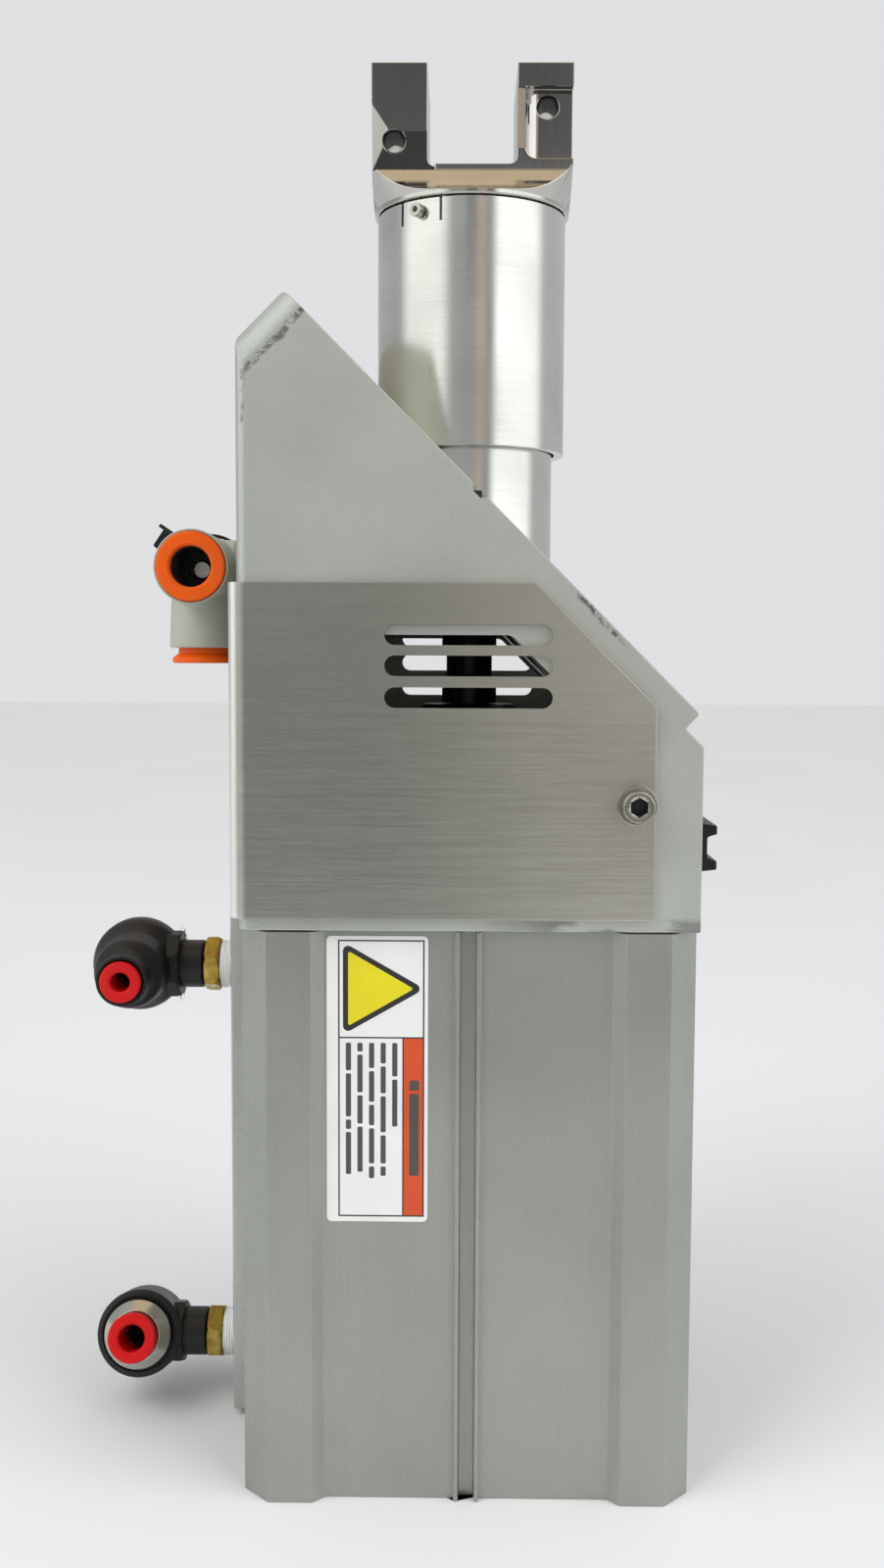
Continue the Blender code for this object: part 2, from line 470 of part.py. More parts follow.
def build_cover():
    outside, inside, bend = HALF + GAP + SHEET, HALF + GAP, 0.0025
    outer_bend = arc((-outside + bend, -outside + bend), bend, 270, 180, 4)
    inner_bend = arc((-outside + bend, -outside + bend), bend - SHEET, 180, 270, 4)
    outer = [(COVER_RIGHT, -outside)] + outer_bend + [(x, -y) for x, y in reversed(outer_bend)]
    outer += [(COVER_RIGHT, outside), (COVER_RIGHT, inside)]
    inner = [(x, -y) for x, y in reversed(inner_bend)] + inner_bend + [(COVER_RIGHT, -inside)]
    cover = prism("cover", outer + inner, "Z", COVER_BASE, COVER_TOP, "brushed_steel")
    clip = [(COVER_SUM - 0.24, 0.24), (0.06, COVER_SUM - 0.06), (0.06, 0.24)]
    boolean(cover, prism("cover_clip", clip, "Y", -0.07, 0.07))
    for height in VENT_Z:
        vent = stadium(VENT_ENDS[0], VENT_ENDS[1], height, VENT_HALF)
        boolean(cover, prism(f"cover_vent_{height * 1000:.0f}", vent, "Y", -0.07, 0.07))
    drill(cover, 0.0075, (-outside - OVERSHOOT, 0, EXHAUST_Z), X, 0.006)
    for sign, side in ((-1, "front"), (1, "back")):
        x, z = COVER_SCREW
        drill(cover, 0.0027, (x, sign * (HALF - OVERSHOOT), z), Y * sign, 0.008)
        seat = outside + GAP
        ring(f"cover_washer_{side}", 0.0026, 0.0050, 0, 0.001, "nickel", SMALL, Y * sign, (x, sign * seat, z))
        head_seat = (x, sign * (seat + 0.001 + GAP), z)
        socket_screw(f"cover_screw_{side}", head_seat, Y * sign, 0.00395, 0.0048, 0.0023, 0.0085, 0.004,
                     "nickel")


def build_manifold():
    plate = block("manifold_plate", (-PLATE_OUT, -PLATE_HALF, PLATE_BASE), (-HALF - GAP, PLATE_HALF, PLATE_TOP),
                  "anodised")
    for name, height in (("upper", UPPER_PORT_Z), ("lower", LOWER_PORT_Z)):
        drill(plate, PORT_R, (-HALF + OVERSHOOT, 0, height), -X, 0.012)
        drill(plate, 0.0062, (-PLATE_OUT - OVERSHOOT, 0, height), X, 0.0065)
        drill(plate, 0.0067, (-HALF + OVERSHOOT, 0, height), -X, OVERSHOOT + GAP + 0.0014)
        ring(f"manifold_seal_{name}", 0.0045, 0.0064, 0, 0.0012, "rubber", SMALL, -X, (-HALF - GAP, 0, height))
    for index, height in enumerate(PLATE_SCREWS):
        drill(plate, 0.0023, (-HALF + OVERSHOOT, 0, height), -X, 0.012)
        drill(plate, 0.0044, (-PLATE_OUT - OVERSHOOT, 0, height), X, 0.0058)
        socket_screw(f"manifold_screw_{index + 1}", (-PLATE_OUT + 0.0035, 0, height), -X, 0.0040, 0.0033,
                     0.0020, 0.0080, 0.003, "dark_steel")


def stem(name, height, hex_flats=0.015):
    """Brass stem: pipe thread in the plate, hexagon, and the spigot that the elbow turns on."""
    thread_tip, hex_right, hex_left, spigot_tip = -0.0612, -0.0695, -0.0750, -0.0790
    body = prism(name, polygon(6, hex_flats, 0, (0, height)), "X", hex_left, hex_right, "brass")
    for end, radius, length, direction in ((hex_right - 0.001, 0.0059, thread_tip - hex_right + 0.001, X),
                                           (hex_left + 0.001, 0.0042, hex_left + 0.001 - spigot_tip, -X)):
        part = rod(f"{name}_{radius * 10000:.0f}", radius, length, None, SMALL, direction, (end, 0, height))
        boolean(body, part, 'UNION')
    drill(body, 0.0028, (thread_tip + OVERSHOOT, 0, height), -X, 0.022, HOLE)


def elbow_neck(name, height, collar_r):
    """Turned neck of an elbow, from its brass hexagon to the body's centre."""
    profile = [(0, 0), (0.0068, 0), (0.0068, 0.0055), (collar_r, 0.0055), (collar_r, 0.0075),
               (0.0078, 0.0092), (0.0078, 0.0180), (0, 0.0180)]
    return turned(name, profile, None, SMALL, -X, (-0.0753, 0, height))


def hollow_elbow(body, height, socket_r, socket_face, socket_depth):
    """Passage of an elbow: swivel bore along X, then the tube socket along -Y."""
    drill(body, 0.0045, (-0.0753 + OVERSHOOT, 0, height), -X, 0.008 + OVERSHOOT, SMALL)
    drill(body, 0.0024, (-0.0800, 0, height), -X, -0.0800 - ELBOW_X, HOLE)
    drill(body, 0.0029, (ELBOW_X, 0.0035, height), -Y, 0.020, HOLE)
    drill(body, socket_r, (ELBOW_X, socket_face - OVERSHOOT, height), Y, socket_depth + OVERSHOOT)


def collet(name, face, barrel_r, hole_r, flange_r, flange, depth, mat, axis, centre):
    """Release collet: flange outside, thin barrel inside the socket. Its origin is at the flange's foot."""
    profile = [(hole_r, flange), (flange_r - 0.0005, flange), (flange_r, flange - 0.0005), (flange_r, 0),
               (barrel_r, 0), (barrel_r, -depth), (hole_r, -depth)]
    start = Vector(centre) + Vector(axis) * face
    return turned(name, profile, mat, SMALL, axis, start)


def build_upper_fitting():
    stem("upper_stem", UPPER_PORT_Z)
    # The profile runs along -Y from the dome behind the centre to the mouth of the arm
    rear = arc((0, 0), 0.0133, 270, 345, 5)
    rear = [(r, y * 0.82 - 0.002) for r, y in rear]
    profile = [(0, 0.0225), (0.0062, 0.0225), (0.00665, 0.0220), (0.00665, 0.0120), (0.0105, 0.0095),
               (0.0133, 0.0050)] + list(reversed(rear[1:])) + [rear[0]]
    body = turned("upper_elbow", profile, "black_resin", ROUND, -Y, (ELBOW_X, 0, UPPER_PORT_Z))
    boolean(body, elbow_neck("upper_elbow_neck", UPPER_PORT_Z, 0.0087), 'UNION')
    hollow_elbow(body, UPPER_PORT_Z, 0.0048, -0.0225, 0.0120)
    collet("upper_collet", 0.0225 + 0.0015, 0.0045, 0.0026, 0.0056, 0.0030, 0.0100, "red_resin", -Y,
           (ELBOW_X, 0, UPPER_PORT_Z))


def build_lower_fitting():
    stem("lower_stem", LOWER_PORT_Z)
    profile = [(0, 0.0085), (0.0112, 0.0085), (0.0120, 0.0078), (0.0120, -0.0050), (0.0095, -0.0105),
               (0.0050, -0.0120), (0, -0.0120)]
    body = turned("lower_elbow", profile, "black_resin", ROUND, -Y, (ELBOW_X, 0, LOWER_PORT_Z))
    boolean(body, elbow_neck("lower_elbow_neck", LOWER_PORT_Z, 0.0082), 'UNION')
    hollow_elbow(body, LOWER_PORT_Z, 0.0078, -0.0085, 0.0070)
    gland = [(0.0053, 0.0145), (0.0074, 0.0145), (0.0098, 0.0110), (0.0100, 0.0088), (0.0075, 0.0088),
             (0.0075, 0.0020), (0.0053, 0.0020)]
    ring_nut = turned("lower_gland", gland, "nickel", ROUND, -Y, (ELBOW_X, 0, LOWER_PORT_Z))
    release = collet("lower_collet", 0.0145 + 0.0015, 0.0050, 0.00365, 0.00675, 0.0032, 0.0110, "red_resin", -Y,
                     (ELBOW_X, 0, LOWER_PORT_Z))
    port = Matrix.Translation((0, 0, LOWER_PORT_Z))
    tilt = port @ Matrix.Rotation(math.radians(-LOWER_TILT), 4, 'X') @ port.inverted()
    for obj in (body, ring_nut, release, *(step.object for step in body.modifiers)):
        obj.data.transform(tilt)


def build_exhaust_fitting():
    """Large grey elbow with two tube sockets, one forward and one down, turning on a stem in the wall."""
    centre = Vector((EXHAUST_X, 0, EXHAUST_Z))
    body_r, socket_r = 0.00975, 0.0078
    profile = [(0, 0.0205), (body_r - 0.0005, 0.0205), (body_r, 0.0200), (body_r, -0.0142),
               (body_r - 0.0030, -0.0172), (0, -0.0172)]
    body = turned("exhaust_elbow", profile, "grey_resin", ROUND, -Y, centre)
    down = [(0, 0.0213), (body_r, 0.0213), (body_r + 0.0003, 0.0205), (body_r - 0.0003, 0), (0, 0)]
    boolean(body, turned("exhaust_elbow_down", down, None, ROUND, -Z, centre), 'UNION')
    boolean(body, rod("exhaust_elbow_boss", 0.0085, 0.0130, None, SMALL, X, centre), 'UNION')
    drill(body, 0.0048, (-0.0600 + OVERSHOOT, 0, EXHAUST_Z), -X, 0.0090 + OVERSHOOT, SMALL)
    drill(body, 0.0030, centre + X * 0.006, -X, 0.006, HOLE)
    for axis, mouth, passage_r, behind in ((-Y, 0.0205, 0.0046, 0.0051), (-Z, 0.0213, 0.0042, 0)):
        drill(body, socket_r, centre + axis * (mouth + OVERSHOOT), -axis, 0.0120 + OVERSHOOT)
        drill(body, passage_r, centre - axis * behind, axis, 0.015, HOLE)
    neck = rod("exhaust_stem", 0.0045, 0.0140, "brass", SMALL, X, (-0.0680, 0, EXHAUST_Z))
    boolean(neck, rod("exhaust_stem_thread", 0.0062, 0.0100, None, SMALL, X, (-0.0594, 0, EXHAUST_Z)), 'UNION')
    drill(neck, 0.0030, (-0.0680 - OVERSHOOT, 0, EXHAUST_Z), X, 0.0210, HOLE)
    for name, axis, mouth in (("exhaust_collet_front", -Y, 0.0205), ("exhaust_collet_down", -Z, 0.0213)):
        collet(name, mouth + 0.0015, 0.0075, 0.00545, 0.0092, 0.0027, 0.0110, "orange_resin", axis, centre)
    tie = ring("cable_tie", body_r + GAP, body_r + 0.0015, -0.0138, -0.0103, "black_resin", ROUND, -Y, centre)
    head = block("cable_tie_head", (-0.0030, 0.0100, body_r + 0.0008), (0.0030, 0.0144, body_r + 0.0050))
    head.matrix_world = Matrix.Translation(centre) @ Matrix.Rotation(math.radians(-50), 4, 'Y')
    boolean(tie, head, 'UNION')


def build_connector():
    """Panel connector with two latching ears, and its contact block set back inside."""
    ear = [(0.0573, 0.1568), (0.0648, 0.1568), (0.0648, 0.1580), (PLUG_EAR, 0.1572), (PLUG_EAR, 0.1596),
           (PLUG_FACE, 0.1604), (PLUG_FACE, 0.1661), (PLUG_EAR, 0.1669), (PLUG_EAR, 0.1693),
           (PLUG_FACE, 0.1685), (PLUG_FACE, 0.1697), (0.0573, 0.1697)]
    shell = prism("connector_shell", ear, "Y", -PLUG_HALF_Y, PLUG_HALF_Y, "black_resin")
    boolean(shell, block("connector_shell_socket", (0.0560, -0.0095, 0.1605), (0.0700, 0.0095, 0.1660)))
    insert = block("connector_insert", (0.0500, -0.0092, 0.1608), (0.0620, 0.0092, 0.1657), "grey_resin")
    for row, (height, count) in enumerate(((0.1645, 5), (0.1620, 4))):
        for column in range(count):
            y = (column - (count - 1) / 2) * 0.0028
            drill(insert, 0.0006, (0.0640, y, height), -X, 0.006, 6)


def build_reed_switches():
    """Two position sensors in the barrel's right-hand slot."""
    for name, base in (("reed_switch_lower", 0.040), ("reed_switch_upper", 0.094)):
        block(name, (HALF - SLOT_DEPTH + GAP, -SLOT_HALF + GAP, base), (HALF - 0.0008, SLOT_HALF - GAP, base + 0.020),
              "black_resin")


def main():
    for obj in list(bpy.data.objects):
        bpy.data.objects.remove(obj, do_unlink=True)
    build_barrel()
    build_rear_head()
    build_front_head()
    build_piston()
    build_shaft()
    build_fork()
    build_sleeve()
    build_tube()
    build_housing()
    build_cover()
    build_manifold()
    build_upper_fitting()
    build_lower_fitting()
    build_exhaust_fitting()
    build_connector()
    build_reed_switches()


main()
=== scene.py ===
"""Looks for the pneumatic actuator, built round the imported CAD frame. Metres, +Z up, -Y is the front."""

import math

import bmesh
import bpy
from mathutils import Matrix, Vector


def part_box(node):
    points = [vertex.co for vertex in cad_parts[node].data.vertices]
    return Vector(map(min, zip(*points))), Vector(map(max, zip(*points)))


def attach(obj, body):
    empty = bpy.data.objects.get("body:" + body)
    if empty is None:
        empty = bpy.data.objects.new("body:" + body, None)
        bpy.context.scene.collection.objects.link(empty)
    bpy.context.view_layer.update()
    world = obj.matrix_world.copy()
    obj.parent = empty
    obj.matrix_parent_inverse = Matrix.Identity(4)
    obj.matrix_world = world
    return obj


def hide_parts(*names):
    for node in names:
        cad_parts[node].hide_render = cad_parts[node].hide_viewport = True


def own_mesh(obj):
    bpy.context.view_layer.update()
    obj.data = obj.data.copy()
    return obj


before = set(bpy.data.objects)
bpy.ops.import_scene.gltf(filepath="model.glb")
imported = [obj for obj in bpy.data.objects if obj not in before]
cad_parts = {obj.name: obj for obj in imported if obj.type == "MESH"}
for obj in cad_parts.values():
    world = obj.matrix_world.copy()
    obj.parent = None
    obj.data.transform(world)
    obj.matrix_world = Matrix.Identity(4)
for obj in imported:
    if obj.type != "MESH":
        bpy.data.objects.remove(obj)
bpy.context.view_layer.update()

X, Y, Z = Vector((1, 0, 0)), Vector((0, 1, 0)), Vector((0, 0, 1))
GAP = 0.0003            # clearance between pieces that touch
PAST = 0.002            # how far a cutter runs past the face it opens
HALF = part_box("barrel")[1].x
BARREL_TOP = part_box("barrel")[1].z
CORNERS = ((-1, -1), (1, -1), (1, 1), (-1, 1))
BOLT = 0.044            # tie bolts stand this far from the axis, both ways
UPPER_PORT, LOWER_PORT = 0.1274, 0.0196
ELBOW_X = -0.0930       # middle of the two black elbows
LOWER_TILT = 17         # degrees that the lower elbow's mouth points up
EXHAUST = Vector((-0.0735, 0, 0.238))       # middle of the grey elbow
COVER_SCREW_X, COVER_SCREW_Z = 0.0406, 0.179
SLEEVE_SCREW_TURNS, SLEEVE_SCREW_Z = (238, 418), 0.3295
PIN_HOLES = ((-0.0205, 0.349), (0.0197, 0.3582))
SLAB_TOP, SLAB_UNDER = 0.257, 0.240         # x + z on the two faces of the slanted slab


# ---------------------------------------------------------------- shapes

def outline(*points, steps=4):
    """Closed outline of (a, b) points. A third number rounds that corner by its radius."""
    result = []
    for index, (a, b, *radius) in enumerate(points):
        corner = Vector((a, b))
        if not radius:
            result.append((a, b))
            continue
        back = (Vector(points[index - 1][:2]) - corner).normalized()
        onward = (Vector(points[(index + 1) % len(points)][:2]) - corner).normalized()
        half = back.angle(onward) / 2
        centre = corner + (back + onward).normalized() * radius[0] / math.sin(half)
        first = corner + back * radius[0] / math.tan(half) - centre
        last = corner + onward * radius[0] / math.tan(half) - centre
        sweep = math.atan2(first.x * last.y - first.y * last.x, first.dot(last))
        for step in range(steps + 1):
            result.append(tuple(centre + Matrix.Rotation(sweep * step / steps, 2) @ first))
    return result


def corners(low, high, *radius):
    """The four corners of a rectangle, each with the given rounding."""
    return [(a, b, *radius) for a, b in ((low[0], low[1]), (high[0], low[1]), (high[0], high[1]), (low[0], high[1]))]


def arc(centre, radius, start, end, steps):
    """Points on an arc, angles in degrees."""
    angles = [math.radians(start + (end - start) * i / steps) for i in range(steps + 1)]
    return [(centre[0] + radius * math.cos(a), centre[1] + radius * math.sin(a)) for a in angles]


def regular(count, flats, centre=(0, 0), turn=0.0):
    """Regular outline given by the distance across its flats."""
    radius = flats / 2 / math.cos(math.pi / count)
    angles = [math.tau * (i + 0.5) / count + turn for i in range(count)]
    return [(centre[0] + radius * math.cos(a), centre[1] + radius * math.sin(a)) for a in angles]


def stand(axis, start):
    """Matrix that stands local +Z along the axis at the start point."""
    return Matrix.Translation(start) @ Z.rotation_difference(Vector(axis)).to_matrix().to_4x4()


def add_mesh(name, bm):
    bmesh.ops.recalc_face_normals(bm, faces=bm.faces)
    if bm.calc_volume(signed=True) < 0:
        bmesh.ops.reverse_faces(bm, faces=bm.faces)
    mesh = bpy.data.meshes.new(name)
    bm.to_mesh(mesh)
    bm.free()
    obj = bpy.data.objects.new(name, mesh)
    bpy.context.scene.collection.objects.link(obj)
    return obj


def lathe(name, profile, axis=Z, start=(0, 0, 0), sides=96):
    """Spin a closed outline of (radius, height) points about an axis."""
    bm = bmesh.new()
    verts = [bm.verts.new((max(radius, 0), 0, height)) for radius, height in profile]
    edges = [bm.edges.new(pair) for pair in zip(verts, verts[1:] + verts[:1])]
    bmesh.ops.spin(bm, geom=verts + edges, cent=(0, 0, 0), axis=(0, 0, 1), angle=math.tau,
                   steps=sides, use_merge=True, use_duplicate=False)
    bmesh.ops.remove_doubles(bm, verts=bm.verts, dist=0.000001)
    bmesh.ops.delete(bm, geom=[edge for edge in bm.edges if not edge.link_faces], context='EDGES')
    bm.transform(stand(axis, start))
    return add_mesh(name, bm)


def tube(name, inner, outer, base, top, axis=Z, start=(0, 0, 0), sides=96, edge=0.0003):
    """Ring or tube whose four edges are slightly rounded."""
    corners = [(outer, top, edge), (outer, base, edge), (inner, base, edge), (inner, top, edge)]
    return lathe(name, outline(*corners, steps=2), axis, start, sides)


def pin(name, radius, length, axis=Z, start=(0, 0, 0), sides=48, mouth=0.0):
    """Plain cylinder, or a hole cutter with a countersink at the depth PAST below its start."""
    opening = [(radius, PAST + mouth), (radius + mouth, PAST), (radius + mouth, 0)] if mouth else [(radius, 0)]
    return lathe(name, [(0, length), (radius, length), *opening, (0, 0)], axis, start, sides)


def prism(name, points, axis, low, high):
    """Extrude an outline along X, Y or Z. Its points are the other two coordinates in order."""
    place = {"X": lambda a, b, c: (c, a, b), "Y": lambda a, b, c: (a, c, b), "Z": lambda a, b, c: (a, b, c)}[axis]
    bm = bmesh.new()
    face = bm.faces.new([bm.verts.new(place(a, b, low)) for a, b in points])
    moved = bmesh.ops.extrude_face_region(bm, geom=[face])["geom"]
    bmesh.ops.translate(bm, vec=place(0, 0, high - low), verts=[g for g in moved if isinstance(g,
                                                                                               bmesh.types.BMVert)])
    return add_mesh(name, bm)


def block(name, low, high, corner=0.0):
    """Box between two corners; its upright edges can be rounded."""
    extra = (corner,) if corner else ()
    return prism(name, outline(*corners(low, high, *extra)), "Z", low[2], high[2])


def freeze(obj):
    """Apply every modifier to the mesh."""
    graph = bpy.context.evaluated_depsgraph_get()
    mesh = bpy.data.meshes.new_from_object(obj.evaluated_get(graph))
    old = obj.data
    obj.modifiers.clear()
    obj.data = mesh
    bpy.data.meshes.remove(old)
    mesh.name = obj.name
    return obj


def modify(obj, kind, **settings):
    modifier = obj.modifiers.new(kind, kind)
    for key, value in settings.items():
        setattr(modifier, key, value)
    return obj


def leaks(obj):
    """How many edges of the evaluated shape don't join exactly two faces. An empty shape leaks."""
    mesh = obj.evaluated_get(bpy.context.evaluated_depsgraph_get()).data
    bm = bmesh.new()
    bm.from_mesh(mesh)
    count = sum(len(edge.link_faces) != 2 for edge in bm.edges) if bm.edges else len(obj.data.edges)
    bm.free()
    return count


def carve(obj, *others, operation='DIFFERENCE'):
    """Cut the others out of obj, or join or intersect them, with the solver that leaves it closed, and remove them."""
    for other in others:
        modify(obj, 'BOOLEAN', operation=operation, solver='MANIFOLD', object=other)
    if leaks(obj):
        for modifier in obj.modifiers:
            modifier.solver = 'EXACT'
    freeze(obj)
    for other in others:
        bpy.data.objects.remove(other)
    return obj


def soften(obj, width, segments=2, angle=35, where=None):
    """Round the sharp edges, or only those whose middle passes the test."""
    bm = bmesh.new()
    bm.from_mesh(obj.data)
    bmesh.ops.dissolve_limit(bm, angle_limit=math.radians(0.2), verts=bm.verts, edges=bm.edges)
    sharp = [edge for edge in bm.edges if len(edge.link_faces) == 2
             and edge.calc_face_angle() > math.radians(angle)
             and (where is None or where((edge.verts[0].co + edge.verts[1].co) / 2))]
    bmesh.ops.bevel(bm, geom=sharp, offset=width, segments=segments, profile=0.5, affect='EDGES',
                    clamp_overlap=False)
    bm.to_mesh(obj.data)
    bm.free()
    return obj


def melt(obj, voxel, rounds):
    """Blend joined solids into one moulded shape with soft inner corners."""
    modify(obj, 'REMESH', mode='VOXEL', voxel_size=voxel)
    modify(obj, 'SMOOTH', factor=0.5, iterations=rounds)
    return freeze(obj)


def knurl(obj, radius, depth, axis, start, sides):
    """Push every second vertex of a round head inwards."""
    back = stand(axis, start).inverted()
    there = stand(axis, start)
    for vert in obj.data.vertices:
        spot = back @ vert.co
        if math.hypot(spot.x, spot.y) > radius * 0.97 and spot.z > 0:
            tooth = round(math.atan2(spot.y, spot.x) / math.tau * sides) % 2
            spot.xy *= 1 - tooth * depth / radius
            vert.co = there @ spot
    return obj


def thread(radius, high, low, pitch=0.0008, depth=0.0004):
    """Ridged side of a threaded length, from high to low."""
    count = max(1, round(abs(high - low) / pitch))
    points = []
    for index in range(count):
        z = high + (low - high) * index / count
        points += [(radius - depth, z), (radius, z + (low - high) / count / 2)]
    return points + [(radius - depth, low)]


def radial(degrees):
    return Vector((math.cos(math.radians(degrees)), math.sin(math.radians(degrees)), 0))


def piece(obj, look, body, *nodes, angle=35):
    """Give a finished shape its material and body. It stands for the named CAD nodes."""
    obj.data.materials.clear()
    obj.data.materials.append(look)
    return settle(obj, body, *nodes, slot=look.get("slot"), angle=angle)


def settle(obj, body, *nodes, slot=None, angle=35):
    obj.data.shade_smooth()
    obj.data.set_sharp_from_angle(angle=math.radians(angle))
    modify(obj, 'WEIGHTED_NORMAL', keep_sharp=True, weight=50)
    freeze(obj)
    if nodes:
        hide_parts(*nodes)
    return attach(obj, body)


# ---------------------------------------------------------------- materials

def colour(red, green, blue):
    """Linear colour from 0-255 display values."""
    return tuple(((c / 255 + 0.055) / 1.055) ** 2.4 if c > 10 else c / 255 / 12.92 for c in (red, green, blue))


class Look:
    """A node material in the making. Coordinates are the object's own, so marks stay on a moving piece."""

    def __init__(self, name, slot, roughness, metallic, **sockets):
        self.material = bpy.data.materials.new(name)
        self.material.use_nodes = True
        if slot:
            self.material["slot"] = slot
        self.tree = self.material.node_tree
        self.shader = self.tree.nodes["Principled BSDF"]
        self.put("Roughness", roughness)
        self.put("Metallic", metallic)
        for key, value in sockets.items():
            self.put(key.replace("_", " "), value)
        self.place = self.tree.nodes.new("ShaderNodeTexCoord").outputs["Object"]
        self.height = None

    def put(self, name, value):
        if isinstance(value, bpy.types.NodeSocket):
            self.tree.links.new(value, self.shader.inputs[name])
        else:
            self.shader.inputs[name].default_value = value

    def node(self, kind, inputs=(), **settings):
        made = self.tree.nodes.new(kind)
        for key, value in settings.items():
            setattr(made, key, value)
        for index, value in inputs:
            if isinstance(value, bpy.types.NodeSocket):
                self.tree.links.new(value, made.inputs[index])
            elif value is not None:
                made.inputs[index].default_value = value
        return made

    def noise(self, scale, stretch=(1, 1, 1), detail=3.0, roughness=0.5, shift=(0, 0, 0)):
        """Noise value 0-1. Scale is in features a metre, divided by the stretch on each axis."""
        mapped = self.node("ShaderNodeMapping", [("Vector", self.place), ("Location", shift),
                                                 ("Scale", tuple(1 / s for s in stretch))])
        made = self.node("ShaderNodeTexNoise", [("Vector", mapped.outputs[0]), ("Scale", scale), ("Detail", detail),
                                                ("Roughness", roughness)])
        return made.outputs["Fac"]

    def math(self, operation, a, b=None, c=None):
        return self.node("ShaderNodeMath", [(0, a), (1, b), (2, c)], operation=operation).outputs[0]

    def span(self, value, low, high, to_low=0.0, to_high=1.0, smooth=False):
        """Map a value from one range to another, clamped."""
        made = self.node("ShaderNodeMapRange", [("Value", value), ("From Min", low), ("From Max", high),
                                                ("To Min", to_low), ("To Max", to_high)],
                         interpolation_type='SMOOTHSTEP' if smooth else 'LINEAR')
        return made.outputs["Result"]

    def blend(self, factor, a, b):
        made = self.node("ShaderNodeMix", [("Factor", factor)], data_type='RGBA')
        for socket, value in ((made.inputs[6], a), (made.inputs[7], b)):
            if isinstance(value, bpy.types.NodeSocket):
                self.tree.links.new(value, socket)
            else:
                socket.default_value = (*value, 1.0)
        return made.outputs[2]

    def axes(self):
        return self.node("ShaderNodeSeparateXYZ", [(0, self.place)]).outputs

    def band(self, value, centre, half, edge):
        """1 within half of the centre, 0 beyond half + edge."""
        away = self.math('ABSOLUTE', self.math('SUBTRACT', value, centre))
        return self.span(away, half + edge, half)

    def both(self, *values):
        total = values[0]
        for value in values[1:]:
            total = self.math('MULTIPLY', total, value)
        return total

    def emboss(self, value, distance, strength=1.0):
        """Add a height in metres to the surface."""
        inputs = [("Strength", strength), ("Distance", distance), ("Height", value)]
        if self.height:
            inputs.append(("Normal", self.height))
        self.height = self.node("ShaderNodeBump", inputs).outputs[0]

    def done(self):
        if self.height:
            self.put("Normal", self.height)
        return self.material


def anodised(name="anodised", tone=(192, 194, 188), metallic=0.75, scuffs=False, die_lines=False):
    """Satin clear anodise: fine blasted grain, faint streaks and clouding, dark rubs where it is knocked."""
    look = Look(name, "anodised", 0.40, metallic)
    light, dark = colour(*tone), colour(*(c * 0.93 for c in tone))
    cloud = look.noise(22, detail=4)
    base = look.blend(look.span(cloud, 0.3, 0.7), dark, light)
    speck = look.noise(2000, detail=3, roughness=0.6)
    base = look.blend(look.span(speck, 0.50, 0.75, 0, 0.30), base, colour(116, 118, 112))
    base = look.blend(look.span(speck, 0.40, 0.25, 0, 0.25), base, colour(222, 224, 218))
    x, y, z = look.axes()
    if die_lines:
        lines = look.noise(1500, stretch=(1, 1, 60), detail=2)
        base = look.blend(look.span(lines, 0.45, 0.75, 0, 0.10), base, colour(132, 134, 128))
        look.emboss(lines, 0.00004, 0.5)
    rough = look.span(cloud, 0.3, 0.7, 0.38, 0.47)
    if scuffs:
        outside = look.span(look.math('ABSOLUTE', y), 0.0535, 0.0550)
        jag = look.noise(700, detail=6, roughness=0.7)
        patch = look.noise(75, detail=2, shift=(0.4, 0, 0.1))
        sway = look.span(look.noise(160, detail=3), 0.3, 0.7, -0.0007, 0.0007)
        crown = look.band(look.math('ADD', look.math('SUBTRACT', z, x), sway), 0.3374, 0.0007, 0.0010)
        crown = look.both(crown, look.span(x, -0.0560, -0.0540), look.span(z, 0.2800, 0.3010, 0.72, 1.0))
        edge = look.both(look.band(look.math('ADD', x, sway), -0.0550, 0.0002, 0.0005),
                         look.band(z, 0.2765, 0.0050, 0.0030))
        slope = look.both(look.band(look.math('ADD', look.math('ADD', x, z), sway), 0.2553, 0.0003, 0.0009),
                          look.band(x, 0.031, 0.004, 0.003))
        foot = look.both(look.span(z, 0.1512, 0.1496), look.span(look.noise(240, (5, 1, 1), detail=4), 0.50, 0.58),
                         look.span(x, 0.0, 0.02))
        faint = look.both(edge, look.span(jag, 0.50, 0.58))
        torn = look.span(look.math('ADD', jag, look.math('MULTIPLY', patch, 0.6)), 0.68, 0.77)
        rub = look.both(look.math('MAXIMUM', crown, slope), torn)
        rub = look.both(look.math('MAXIMUM', rub, look.math('MULTIPLY', look.math('MAXIMUM', faint, foot), 0.6)),
                        outside)
        base = look.blend(look.math('MULTIPLY', rub, 0.85), base, colour(62, 64, 62))
        rough = look.math('ADD', rough, look.math('MULTIPLY', rub, 0.15))
    look.put("Base Color", base)
    look.put("Roughness", rough)
    look.emboss(look.noise(3800, detail=2), 0.00003, 0.45)
    look.emboss(look.noise(900, detail=2), 0.00005, 0.25)
    return look.done()


